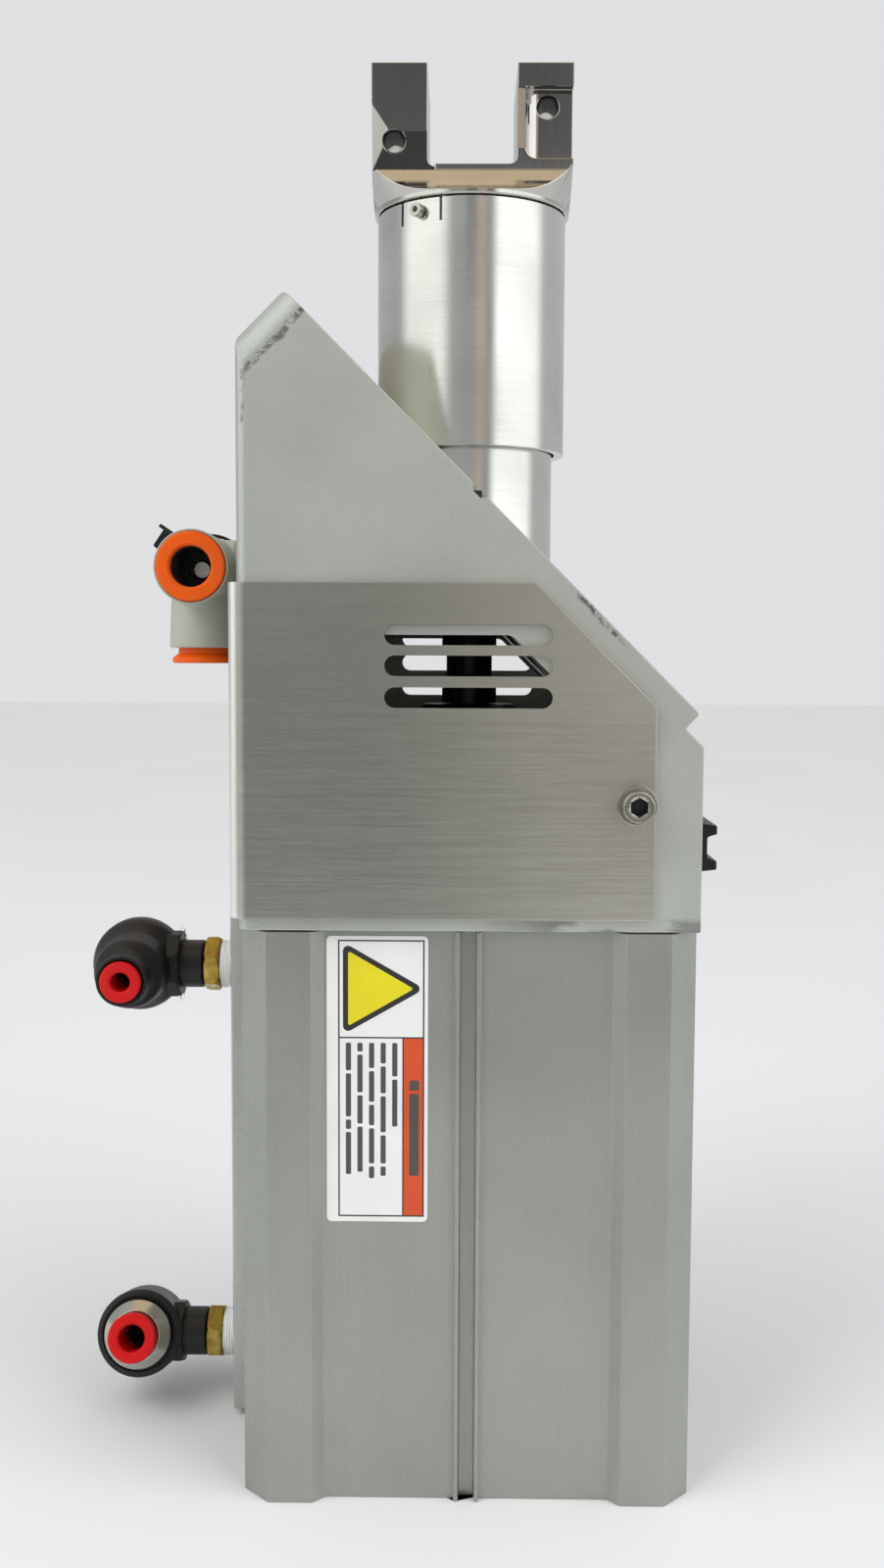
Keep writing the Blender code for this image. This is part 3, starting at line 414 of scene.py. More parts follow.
def brushed(name="brushed_steel"):
    """Sheet steel brushed sideways with darker clouding; painted reflection makes it lighter and warmer to the right,
    and a painted highlight makes it paler along the bend.
    """
    look = Look(name, "brushed_steel", 0.34, 1.0)
    x, y, _ = look.axes()
    fine = look.noise(6500, stretch=(34, 34, 1), detail=4, roughness=0.65)
    broad = look.noise(2600, stretch=(60, 60, 1), detail=3)
    # painted reflection: the flat sheet is made lighter and warmer towards the right
    side = look.span(x, -0.030, 0.040, smooth=True)
    base = look.blend(side, colour(170, 172, 164), colour(216, 215, 202))
    base = look.blend(look.span(fine, 0.38, 0.68, 0, 0.24), base, colour(226, 226, 218))
    base = look.blend(look.span(broad, 0.42, 0.68, 0, 0.13), base, colour(150, 150, 143))
    cloud = look.noise(28, detail=4)
    base = look.blend(look.span(cloud, 0.45, 0.75, 0, 0.20), base, colour(158, 157, 149))
    # painted highlight: the rounded bend at the left edge is made paler, front and back
    bend = look.both(look.span(x, -0.0546, -0.0558), look.span(look.math('ABSOLUTE', y), 0.0540, 0.0552))
    base = look.blend(look.math('MULTIPLY', bend, 0.85), base, colour(246, 245, 240))
    look.put("Base Color", base)
    look.put("Roughness", look.span(broad, 0.35, 0.65, 0.30, 0.38))
    look.emboss(fine, 0.00004, 0.4)
    look.emboss(broad, 0.00005, 0.25)
    return look.done()


def turned_steel(name, slot, tone, roughness, axis_stretch, line_depth=0.00002, spread=0.06):
    """Turned and polished metal: very fine lines round the axis and light handling haze."""
    look = Look(name, slot, roughness, 1.0)
    lines = look.noise(4200, stretch=axis_stretch, detail=3)
    haze = look.noise(45, detail=4)
    base = look.blend(look.span(haze, 0.35, 0.7), colour(*tone), colour(*(c * 0.93 for c in tone)))
    base = look.blend(look.span(lines, 0.45, 0.75, 0, 0.22), base, colour(*(c * 0.82 for c in tone)))
    look.put("Base Color", base)
    look.put("Roughness", look.math('ADD', look.span(haze, 0.3, 0.7, roughness, roughness + spread),
                                    look.span(lines, 0.4, 0.7, 0, 0.04)))
    look.emboss(lines, line_depth, 0.35)
    return look.done()


def resin(name, slot, tone, roughness=0.4, mottled=0.08, dust=0.0, **sockets):
    """Moulded plastic: faint mottling, spark-eroded texture, a little dust in the grain."""
    look = Look(name, slot, roughness, 0.0, **sockets)
    cloud = look.noise(90, detail=3)
    base = look.blend(look.span(cloud, 0.3, 0.7), colour(*tone), colour(*(c * (1 - mottled) for c in tone)))
    if dust:
        motes = look.noise(1500, detail=4, roughness=0.7)
        base = look.blend(look.span(motes, 0.60, 0.75, 0, dust), base, colour(150, 148, 142))
    look.put("Base Color", base)
    look.put("Roughness", look.span(cloud, 0.3, 0.7, roughness - 0.05, roughness + 0.07))
    look.emboss(look.noise(2400, detail=2), 0.00003, 0.35)
    look.emboss(look.noise(260, detail=2), 0.00010, 0.20)
    return look.done()


def brass_look():
    look = Look("brass", "brass", 0.30, 1.0)
    tarnish = look.noise(320, detail=4, roughness=0.6)
    base = look.blend(look.span(tarnish, 0.35, 0.7), colour(184, 162, 78), colour(138, 116, 46))
    look.put("Base Color", base)
    look.put("Roughness", look.span(tarnish, 0.3, 0.7, 0.24, 0.42))
    look.emboss(look.noise(3000, (1, 20, 20)), 0.00003, 0.4)
    return look.done()


LOOKS = {
    "anodised": anodised(),
    "brushed_steel": brushed(),
    "polished_steel": turned_steel("polished_steel", "polished_steel", (222, 224, 219), 0.15, (80, 80, 1)),
    "dark_steel": turned_steel("dark_steel", "dark_steel", (70, 70, 72), 0.34, (40, 40, 1), 0.00005),
    "machined_aluminium": turned_steel("machined_aluminium", "machined_aluminium", (200, 202, 204), 0.28,
                                       (60, 60, 1), 0.00004),
    "brass": brass_look(),
    "bronze": turned_steel("bronze", "bronze", (176, 132, 84), 0.36, (40, 40, 1)),
    "nickel": turned_steel("nickel", "nickel", (196, 193, 184), 0.20, (40, 40, 1), 0.00003),
    "rubber": resin("rubber", "rubber", (30, 30, 31), 0.62, dust=0.10),
    "black_resin": resin("black_resin", "black_resin", (24, 25, 25), 0.40, dust=0.05, Specular_IOR_Level=0.35),
    "grey_resin": resin("grey_resin", "grey_resin", (178, 180, 166), 0.42, mottled=0.05),
    "orange_resin": resin("orange_resin", "orange_resin", (242, 94, 0), 0.40, mottled=0.05, Specular_IOR_Level=0.3),
    "red_resin": resin("red_resin", "red_resin", (206, 8, 14), 0.40, mottled=0.06, Specular_IOR_Level=0.3),
}
BARREL_LOOK = anodised("anodised_extrusion", (171, 174, 167), 0.85, die_lines=True)
HOUSING_LOOK = anodised("anodised_bracket", (194, 198, 192), 0.60, scuffs=True)
FORK_LOOK = turned_steel("polished_fork", "polished_steel", (205, 203, 198), 0.06, (1, 30, 30), 0.00001, 0.04)
SEALANT = resin("thread_sealant", None, (232, 232, 230), 0.5, mottled=0.04)


# ---------------------------------------------------------------- cylinder

def cap_screw(name, seat, axis, head_r, head, shank_r, shank, key, look, body, sides=72):
    """Socket cap screw: knurled head, countersunk hexagon socket, ridged shank."""
    profile = outline((0, head), (head_r * 0.93, head, 0.0002), (head_r, head * 0.92), (head_r, head * 0.14),
                      (head_r * 0.97, 0), (shank_r, 0), steps=2)
    profile += thread(shank_r, -0.0004, -shank, 0.0008, shank_r * 0.12)[1:] + [(0, -shank)]
    screw = knurl(lathe(name, profile, axis, seat, sides), head_r, head_r * 0.035, axis, seat, sides)
    socket = prism(name + "_key", regular(6, key), "Z", head * 0.35, head + PAST)
    mouth = key * 0.62
    cone = lathe(name + "_cone", [(0, head - mouth * 0.5), (mouth, head + 0.0001), (mouth, head + PAST),
                                  (0, head + PAST)], sides=36)
    for cutter in (socket, cone):
        cutter.data.transform(stand(axis, seat))
    carve(screw, socket, cone)
    return piece(screw, look, body, name)


def barrel_outline():
    half_side = [(0.0020, HALF - 0.0045, 0.0004), (0.0020, HALF - 0.0013, 0.0003), (0.0032, HALF - 0.0013, 0.0003),
                 (0.0032, HALF - 0.0030, 0.0003), (0.0360, HALF - 0.0030, 0.0007), (0.0390, HALF, 0.0006),
                 (HALF - 0.0068, HALF, 0.0007)]
    side = [(-x, y, r) for x, y, r in reversed(half_side)] + half_side
    points = []
    for turn in range(4):
        cos, sin = math.cos(-turn * math.pi / 2), math.sin(-turn * math.pi / 2)
        points += [(x * cos - y * sin, x * sin + y * cos, r) for x, y, r in side]
    return outline(*points, steps=3)


def build_barrel():
    barrel = prism("barrel_body", barrel_outline(), "Z", 0, BARREL_TOP)
    soften(barrel, 0.0003, 2, 60, lambda mid: mid.z < 0.0001 or mid.z > BARREL_TOP - 0.0001)
    bore, groove = 0.050, 0.0014
    profile = [(0, BARREL_TOP + PAST), (bore + 0.0008, BARREL_TOP + PAST), (bore + 0.0008, BARREL_TOP),
               (bore, BARREL_TOP - 0.0008),
               (bore, 0.0035 + groove), (bore + groove, 0.0035 + groove), (bore + groove, 0.0035 - groove),
               (bore, 0.0035 - groove), (bore, 0.0008), (bore + 0.0008, 0), (bore + 0.0008, -PAST), (0, -PAST)]
    cutters = [lathe("bore", profile, sides=128)]
    for sx, sy in CORNERS:
        spot = (sx * BOLT, sy * BOLT)
        hole = [(0, -PAST), (0.0050, -PAST), (0.0050, 0), (0.0042, 0.0008)] + thread(0.0043, 0.0012, 0.0180, 0.00125,
                                                                                     0.0006) + [(0, 0.0205)]
        cutters.append(lathe("mount_hole", hole, Z, (*spot, 0), 32))
        cutters.append(pin("bolt_hole", 0.0043, 0.030, Z, (*spot, 0.125), 32))
    carve(barrel, *cutters)
    piece(barrel, BARREL_LOOK, "frame", "barrel", angle=28)

    edge = 0.0497
    profile = outline((0, 0.013), (0.015, 0.013), (0.015, 0.028, 0.0003), (edge, 0.028, 0.0005), (edge, 0.0100),
                      (0.0465, 0.0100),
                      (0.0465, 0.0060), (edge, 0.0060), (edge, 0.0049), (edge - 0.0011, 0.0049),
                      (edge - 0.0011, 0.0021),
                      (edge, 0.0021), (edge, 0, 0.0006), (0.031, 0), (0.0305, 0.0008), (0.0120, 0.0008), (0.0115, 0),
                      (0, 0), steps=2)
    head = lathe("rear_cap", profile, sides=128)
    piece(head, LOOKS["machined_aluminium"], "frame", "rear_head")


def build_switches():
    for name in ("reed_switch_lower", "reed_switch_upper"):
        low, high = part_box(name)
        body = prism(name + "_body", outline(*corners(low.yz, high.yz, 0.0008)), "X", low.x, high.x)
        soften(body, 0.0003, 2, 50)
        screw_z = low.z + 0.0045
        carve(body, pin("recess", 0.0014, 0.003, -X, (high.x + PAST, 0, screw_z), 24),
              block("lens", (high.x - 0.0003, -0.0008, high.z - 0.0060), (high.x + PAST, 0.0008, high.z - 0.0035)))
        piece(body, LOOKS["black_resin"], "frame", name)


# ---------------------------------------------------------------- bracket

def build_bracket():
    base = BARREL_TOP + GAP
    crown_low, crown_high = (-0.0570, 0.2916), (-0.0458, 0.3028)
    points = [(-HALF, base), (HALF, base), (HALF, 0.1930), (0.0525, 0.1975), (0.0559, 0.2011, 0.0008),
              (*crown_high, 0.0016), (*crown_low, 0.0025)]
    body = prism("bracket", outline(*points, steps=5), "Y", -HALF, HALF)
    left = 0.0028
    plan = [(-HALF, -HALF, left), (0.08, -HALF), (0.08, HALF), (-HALF, HALF, left)]
    upright = prism("upright_rounding", outline(*plan, steps=6), "Z", 0.10, 0.35)

    top = (crown_low[1] - crown_low[0]) / math.sqrt(2)
    fillet = 0.0072
    section = [(-HALF, top, fillet), (-HALF, -0.2), (HALF, -0.2), (HALF, top, fillet)]
    crown = prism("crown_rounding", outline(*section, steps=10), "X", -0.3, 0.6)
    crown.data.transform(Matrix.Rotation(math.radians(-45), 4, 'Y'))
    carve(body, upright, crown, operation='INTERSECT')
    soften(body, 0.0004, 2, 32)

    inside, floor = HALF - 0.006, 0.157
    corner = 0.003
    room = outline((-inside, floor, corner), (inside, floor, corner), (inside, SLAB_UNDER - inside, corner),
                   (-inside, SLAB_UNDER + inside, corner), steps=5)
    window = outline((-0.034, 0.172, 0.003), (0.030, 0.172, 0.003), (0.030, 0.200, 0.003), (0.010, 0.220, 0.003),
                     (-0.034, 0.220, 0.003), steps=5)
    cutters = [prism("room", room, "Y", -inside, inside), prism("window", window, "Y", -HALF - PAST, HALF + PAST),
               pin("flange_bore", 0.029, 0.1, Z, (0, 0, 0.2), 96), pin("rod_hole", 0.013, 0.015, Z,
                                                                       (0, 0, base - PAST), 64),
               pin("stem_hole", 0.0065, 0.012, X, (-HALF - PAST, 0, EXHAUST.z), 48, 0.0005),
               block("plug_slot", (inside - PAST, -0.0125, 0.1590), (HALF + PAST, 0.0125, 0.1675)),
               prism("notch", outline((0.0005, 0.2620), (0.0005, 0.2545), (0.0022, 0.2528, 0.0006),
                                      (0.0080, 0.2528)), "Y", -HALF - PAST, -HALF + 0.004)]
    inward = Vector((-1, 0, -1)).normalized()
    for x in (-0.0385, 0.0470):
        for y in (-0.046, 0.046):
            face = Vector((x, y, SLAB_TOP - x))
            hole = [(0, -PAST), (0.0031, -PAST), (0.0031, 0), (0.0024, 0.0007)] + thread(0.0026, 0.001, 0.009,
                                                                                         0.0008,
                                                                                         0.0004) + [(0, 0.010)]
            cutters.append(lathe("flange_hole", hole, inward, face, 32))
    for sign in (-1, 1):
        cutters.append(pin("cover_screw_hole", 0.0026, 0.012, Y * sign,
                           (COVER_SCREW_X, sign * (inside - PAST), COVER_SCREW_Z), 24))
    for sx, sy in CORNERS:
        cutters.append(pin("bolt_hole", 0.0043, 0.015, Z, (sx * BOLT, sy * BOLT, base - PAST), 32))
    carve(body, *cutters)
    piece(body, HOUSING_LOOK, "frame", "housing", angle=28)
    piece(block("notch_plug", (0.0006, -HALF + 0.0003, 0.2531), (0.0026, -HALF + 0.0036, 0.2546), 0.0002),
          LOOKS["rubber"], "frame")

    for number, (sx, sy) in enumerate(CORNERS, start=1):
        cap_screw(f"housing_bolt_{number}", (sx * BOLT, sy * BOLT, floor + GAP), Z, 0.0063, 0.008, 0.004,
                  0.0303, 0.006, LOOKS["dark_steel"], "frame")


def stadium(left, right, height, half, steps=12):
    """Slot outline with round ends."""
    return arc((right - half, height), half, -90, 90, steps) + arc((left + half, height), half, 90, 270, steps)


def build_cover():
    sheet, bend, right = 0.0015, 0.0025, 0.0452
    outside, inside = HALF + GAP + sheet, HALF + GAP
    outer = arc((-outside + bend, -outside + bend), bend, 270, 180, 8)
    inner = arc((-outside + bend, -outside + bend), bend - sheet, 180, 270, 8)
    points = [(right, -outside)] + outer + [(x, -y) for x, y in reversed(outer)] + [(right, outside), (right, inside)]
    points += [(x, -y) for x, y in reversed(inner)] + inner + [(right, -inside)]
    low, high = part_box("cover")
    cover = prism("cover_sheet", points, "Z", low.z, high.z)
    edge = 0.248            # x + z along the slanted edge
    clip = prism("clip", [(edge - 0.30, 0.30), (0.06, edge - 0.06), (0.06, 0.30)], "Y", -0.07, 0.07)
    corner = prism("corner", [(right + 0.001, 0.1495), (right - 0.0012, 0.1495), (right + 0.001, 0.1520)], "Y",
                   -0.07, 0.07)
    carve(cover, clip, corner)
    soften(cover, 0.0002, 2, 50)
    vents = [prism("vent", stadium(-0.0208, 0.0200, z, 0.0025), "Y", -0.07, 0.07) for z in (0.2200, 0.2125, 0.2048)]
    holes = [pin("hole", 0.0027, 0.14, Y, (COVER_SCREW_X, -0.07, COVER_SCREW_Z), 32),
             pin("stem_notch", 0.0075, 0.006, X, (-outside - PAST, 0, EXHAUST.z), 64)]
    carve(cover, *vents, *holes)
    piece(cover, LOOKS["brushed_steel"], "frame", "cover", angle=28)
    for sign, side in ((-1, "front"), (1, "back")):
        outward = Y * sign
        washer_seat = Vector((COVER_SCREW_X, sign * (outside + GAP), COVER_SCREW_Z))
        screw_seat = Vector((COVER_SCREW_X, sign * (outside + GAP + 0.001 + GAP), COVER_SCREW_Z))
        washer = tube("washer_" + side, 0.0026, 0.0050, 0, 0.001, outward, washer_seat, 64, 0.0003)
        piece(washer, LOOKS["nickel"], "frame", "cover_washer_" + side)
        cap_screw("cover_screw_" + side, screw_seat, outward, 0.00395, 0.0048, 0.0023, 0.0085, 0.0042,
                  LOOKS["nickel"], "frame")
        cup = [(0, 0.0017), (0.00235, 0.0017), (0.00235, 0.0042), (0.00195, 0.0042), (0.00195, 0.0019), (0, 0.0019)]
        piece(lathe("socket_shade_" + side, cup, outward, screw_seat, 48), LOOKS["dark_steel"], "frame")


# ---------------------------------------------------------------- air fittings

def build_plate():
    low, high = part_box("manifold_plate")
    plate = block("air_plate", low, high)
    soften(plate, 0.0006, 3, 50)
    cutters = []
    screws = (0.052, 0.096)
    for z in (UPPER_PORT, LOWER_PORT):
        cutters += [pin("port", 0.0062, 0.0085, X, (low.x - PAST, 0, z), 48, 0.0006),
                    pin("way", 0.004, 0.012, -X, (high.x + PAST, 0, z), 32)]
        cutters.append(pin("seal_seat", 0.0067, 0.0014 + PAST, -X, (high.x + PAST, 0, z), 48))
    for z in screws:
        cutters += [pin("screw_way", 0.0023, 0.012, -X, (high.x + PAST, 0, z), 24),
                    pin("sink", 0.0044, 0.0055, X, (low.x - PAST, 0, z), 48, 0.0003)]
    carve(plate, *cutters)
    piece(plate, LOOKS["anodised"], "frame", "manifold_plate")
    for number, z in enumerate(screws, start=1):
        cap_screw(f"manifold_screw_{number}", (low.x + 0.0035, 0, z), -X, 0.0040, 0.0033, 0.0020, 0.0080, 0.003,
                  LOOKS["dark_steel"], "frame")


def build_stem(name, z):
    """Brass stem: chamfered hexagon, spigot for the elbow, thread wrapped in white sealing tape."""
    right, left, flats = -0.0697, -0.0740, 0.0136
    body = prism(name + "_brass", regular(6, flats, (0, z), math.radians(-55)), "X", left, right)
    across = flats / 2 / math.cos(math.pi / 6)
    cone = [(0, 0), (flats / 2 + 0.0001, 0), (across + 0.0003, 0.0009), (across + 0.0003, 0.0034),
            (flats / 2 + 0.0001, 0.0043), (0, 0.0043)]
    carve(body, lathe("corner_cut", cone, X, (left, 0, z), 96), operation='INTERSECT')
    soften(body, 0.00018, 1, 20)
    carve(body, pin("thread", 0.0059, 0.0092, X, (right - 0.001, 0, z), 64),
          pin("neck", 0.0042, 0.0060, -X, (left + 0.001, 0, z), 64),
          operation='UNION')
    carve(body, pin("way", 0.0028, 0.024, X, (-0.0810, 0, z), 32))
    piece(body, LOOKS["brass"], "frame", name, angle=25)
    wrap = [(0.0059, 0.0002)]
    for step in range(5):
        a = 0.0002 + step * 0.00074
        wrap += [(0.00655 - 0.00004 * step, a + 0.00008), (0.00672 - 0.00004 * step, a + 0.00035),
                 (0.00650 - 0.00004 * step, a + 0.00066)]
    wrap += [(0.0059, 0.0039)]
    tape = lathe(name + "_tape", wrap, X, (right + 0.0001, 0, z), 96)
    for vert in tape.data.vertices:
        angle = math.atan2(vert.co.y, vert.co.z - z)
        if math.hypot(vert.co.y, vert.co.z - z) > 0.0062:
            vert.co.x += 0.00012 * math.sin(angle * 2 + 0.6)
            swell = 1 + 0.012 * math.sin(angle * 3 + vert.co.x * 2600)
            vert.co.y *= swell
            vert.co.z = z + (vert.co.z - z) * swell
    piece(tape, SEALANT, "frame")


def neck(z, collar_flats):
    """Elbow neck with its octagonal collar, which runs into the body."""
    start = (-0.0743, 0, z)
    shaft = lathe("neck", outline((0, 0), (0.0064, 0), (0.0067, 0.0004), (0.0067, 0.0100), (0.0076, 0.0190),
                                  (0, 0.0190)), -X, start, 96)
    collar = prism("collar", regular(8, collar_flats, (0, z)), "X", -0.0880, -0.0808)
    across = collar_flats / 2 / math.cos(math.pi / 8)
    cone = [(0, 0), (across - 0.0008, 0), (across + 0.0002, 0.0012), (across + 0.0002, 0.0080), (0, 0.0080)]
    carve(collar, lathe("collar_cone", cone, -X, (-0.0807, 0, z), 64), operation='INTERSECT')
    soften(collar, 0.00025, 2, 25)
    return shaft, collar


def bore_elbow(body, z, socket_r, face, depth):
    carve(body, pin("swivel", 0.0045, 0.0105, -X, (-0.0753 + PAST, 0, z), 48),
          pin("link", 0.0024, 0.0130, -X, (-0.0800, 0, z), 24),
          pin("passage", 0.0029, 0.020, -Y, (ELBOW_X, 0.0035, z), 32))
    carve(body, lathe("socket", outline((0, 0), (socket_r + 0.0006, 0), (socket_r + 0.0006, PAST),
                                        (socket_r, PAST + 0.0006),
                                        (socket_r, depth + PAST), (0, depth + PAST)), Y, (ELBOW_X, face - PAST, z),
                      96))


def collet(node, look, body, face, axis, centre, barrel_r, hole_r, flange_r, flange, depth):
    """Release collet: dished flange with a rounded rim, slotted barrel and steel teeth left out of sight."""
    profile = outline((hole_r, flange - 0.0006), (hole_r + 0.0006, flange, 0.0003), (flange_r, flange, 0.0006),
                      (flange_r, flange * 0.5, 0.0004),
                      (barrel_r + 0.0004, flange * 0.1, 0.0003), (barrel_r, 0), (barrel_r, -depth), (hole_r, -depth),
                      steps=3)
    start = Vector(centre) + Vector(axis) * face
    made = lathe(node + "_ring", profile, axis, start, 96)
    slots = [block("slit", (-0.0004, -0.02, -depth - 0.001), (0.0004, 0.02, -depth * 0.45)) for _ in range(2)]
    slots[1].data.transform(Matrix.Rotation(math.radians(90), 4, 'Z'))
    for cutter in slots:
        cutter.data.transform(stand(axis, start))
    carve(made, *slots)
    return piece(made, look, body, node)


def build_upper_fitting():
    z, centre = UPPER_PORT, (ELBOW_X, 0, UPPER_PORT)
    build_stem("upper_stem", z)
    rear = [(r, y * 0.86 - 0.001) for r, y in arc((0, 0), 0.0130, 270, 352, 12)]
    profile = [(0, 0.0225), (0.0062, 0.0225), (0.0069, 0.0222), (0.0070, 0.0196), (0.0077, 0.0180), (0.0092, 0.0164),
               (0.0097, 0.0150),
               (0.0099, 0.0100), (0.0102, 0.0072), (0.0114, 0.0050), (0.0124, 0.0034), (0.0130, 0.0018),
               (0.0130, -0.0006)] + list(reversed(rear))
    body = lathe("upper_body", profile, -Y, centre, 96)
    shaft, collar = neck(z, 0.0176)
    carve(body, shaft, operation='UNION')
    melt(body, 0.00032, 3)
    lip = lathe("lip", outline((0.0059, 0.0215), (0.0069, 0.0215), (0.0069, 0.0254, 0.0004),
                               (0.0059, 0.0254, 0.0003)), -Y, centre, 96)
    carve(body, collar, operation='UNION')
    carve(body, lip, operation='UNION')
    bore_elbow(body, z, 0.0048, -0.0225, 0.0120)
    piece(body, LOOKS["black_resin"], "upper_elbow", "upper_elbow", angle=40)
    collet("upper_collet", LOOKS["red_resin"], "upper_collet", 0.0240, -Y, centre, 0.0045, 0.0026, 0.0056, 0.0030,
           0.0100)


def build_lower_fitting():
    z, centre = LOWER_PORT, (ELBOW_X, 0, LOWER_PORT)
    build_stem("lower_stem", z)
    profile = outline((0, 0.0085), (0.0108, 0.0085), (0.0120, 0.0080, 0.0004), (0.0120, -0.0050), (0.0095, -0.0105),
                      (0.0050, -0.0120), (0, -0.0120))
    body = lathe("lower_body", profile, -Y, centre, 96)
    shaft, collar = neck(z, 0.0162)
    carve(body, shaft, operation='UNION')
    melt(body, 0.00032, 2)
    carve(body, collar, operation='UNION')
    bore_elbow(body, z, 0.0078, -0.0085, 0.0070)
    carve(body, lathe("gland_seat", [(0, -PAST), (0.0104, -PAST), (0.0104, 0.0010), (0, 0.0010)], Y,
                      (centre[0], -0.0085, z), 96))
    port = Matrix.Translation((0, 0, z))
    tilt = port @ Matrix.Rotation(math.radians(-LOWER_TILT), 4, 'X') @ port.inverted()
    body.data.transform(tilt)
    piece(body, LOOKS["black_resin"], "lower_elbow", "lower_elbow", angle=40)
    gland = outline((0.0053, 0.0141), (0.0057, 0.0145), (0.0070, 0.0145, 0.0003), (0.0094, 0.0106, 0.0006),
                    (0.0096, 0.0083), (0.0075, 0.0083), (0.0075, 0.0020),
                    (0.0053, 0.0020), steps=3)
    gland_ring = lathe("gland_ring", gland, -Y, centre, 96)
    gland_ring.data.transform(tilt)
    piece(gland_ring, LOOKS["nickel"], "lower_elbow", "lower_gland")
    collet("lower_collet", LOOKS["red_resin"], "lower_collet", 0.0160, tilt.to_3x3() @ -Y, centre, 0.0050, 0.00365,
           0.00675, 0.0032, 0.0110)


def build_exhaust_fitting():
    centre, outer, socket = EXHAUST, 0.00975, 0.0078
    mouths = (("exhaust_collet_front", -Y, 0.0205), ("exhaust_collet_down", -Z, 0.0213))
    body = lathe("exhaust_body", outline((0, 0.0205), (outer, 0.0205, 0.0006), (outer, -0.0142, 0.0015),
                                         (outer - 0.0030, -0.0172, 0.0010), (0, -0.0172)), -Y, centre, 96)
    down = outline((0, 0.0213), (outer + 0.0002, 0.0213, 0.0005), (outer - 0.0005, 0.0060), (outer - 0.0005, 0),
                   (0, 0))
    boss = outline((0, 0), (0.0085, 0), (0.0085, 0.0090), (0.0078, 0.0094), (0.0078, 0.0100), (0.0085, 0.0104),
                   (0.0085, 0.0130, 0.0004), (0, 0.0130), steps=2)
    carve(body, lathe("down_arm", down, -Z, centre, 96), lathe("boss", boss, X, centre, 96), operation='UNION')
    melt(body, 0.00032, 2)
    for _, axis, mouth in mouths:
        cutter = outline((0, -PAST), (socket + 0.0004, -PAST), (socket + 0.0004, 0.0003), (socket, 0.0008),
                         (socket, 0.0120), (0, 0.0120))
        carve(body, lathe("socket", cutter, -axis, centre + axis * mouth, 96))
        carve(body, pin("passage", 0.0044, 0.014, axis, centre - axis * (0.0045 if axis.y else 0), 32))
    carve(body, pin("swivel", 0.0048, 0.0110, -X, (-0.0600 + PAST, 0, centre.z), 48),
          pin("link", 0.0030, 0.0080, -X, centre + X * 0.0065, 24))
    piece(body, LOOKS["grey_resin"], "exhaust_elbow", "exhaust_elbow", angle=40)
    lip = lathe("mouth_lip", outline((0.0093, 0.0200), (0.0099, 0.0200), (0.0099, 0.0238, 0.0003),
                                     (0.0093, 0.0238, 0.0002), steps=2), -Y, centre, 96)
    piece(lip, LOOKS["grey_resin"], "exhaust_elbow")
    piece(tube("mouth_seat", 0.0032, 0.0077, 0.0066, 0.0086, -Y, centre, 64), LOOKS["black_resin"], "exhaust_elbow")
    steel = pin("exhaust_inner_stem", 0.0027, 0.0065, -Y, centre + Y * 0.0010, 48)
    soften(steel, 0.0006, 3, 50)
    piece(steel, LOOKS["nickel"], "exhaust_elbow")
    for node, axis, mouth in mouths:
        collet(node, LOOKS["orange_resin"], node, mouth + 0.0015, axis, centre, 0.0075, 0.00545, 0.0092, 0.0027,
               0.0110)
        grip = tube(node + "_grip", 0.0050, 0.0076, -0.0118, -0.0109, axis, centre + axis * (mouth + 0.0015), 64,
                    0.0002)
        piece(grip, LOOKS["black_resin"], "exhaust_elbow")
        liner = tube(node + "_liner", 0.0051, 0.00542, -0.0108, 0.0004, axis, centre + axis * (mouth + 0.0015), 64,
                     0.0001)
        piece(liner, LOOKS["black_resin"], node)

    tie = tube("tie_band", outer + GAP, outer + 0.0012, -0.0138, -0.0103, -Y, centre, 96, 0.0003)
    head = block("tie_head", (-0.0030, 0.0096, outer + 0.0006), (0.0030, 0.0144, outer + 0.0082), 0.0006)
    soften(head, 0.0004, 2, 50)
    tail = block("tie_tail", (0.0024, 0.0108, outer + 0.0010), (0.0034, 0.0134, outer + 0.0100), 0.0003)
    mouth = block("tie_slot", (-0.0012, 0.0090, outer + 0.0040), (0.0018, 0.0112, outer + 0.0054))
    turn = Matrix.Translation(centre) @ Matrix.Rotation(math.radians(-56), 4, 'Y')
    for part in (head, tail, mouth):
        part.data.transform(turn)
    carve(tie, head, tail, operation='UNION')
    carve(tie, mouth)
    piece(tie, LOOKS["black_resin"], "exhaust_elbow", "cable_tie")

    low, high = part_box("exhaust_stem")
    pipe = lathe("exhaust_pipe", outline((0.0030, 0), (0.0042, 0), (0.0045, 0.0004), (0.0045, 0.0086),
                                         (0.0062, 0.0086, 0.0003))
                 + thread(0.0062, 0.0090, high.x - low.x - 0.0004) + [(0.0030, high.x - low.x)], X,
                 (low.x, 0, centre.z), 64)
    piece(pipe, LOOKS["brass"], "frame", "exhaust_stem")


# ---------------------------------------------------------------- connector

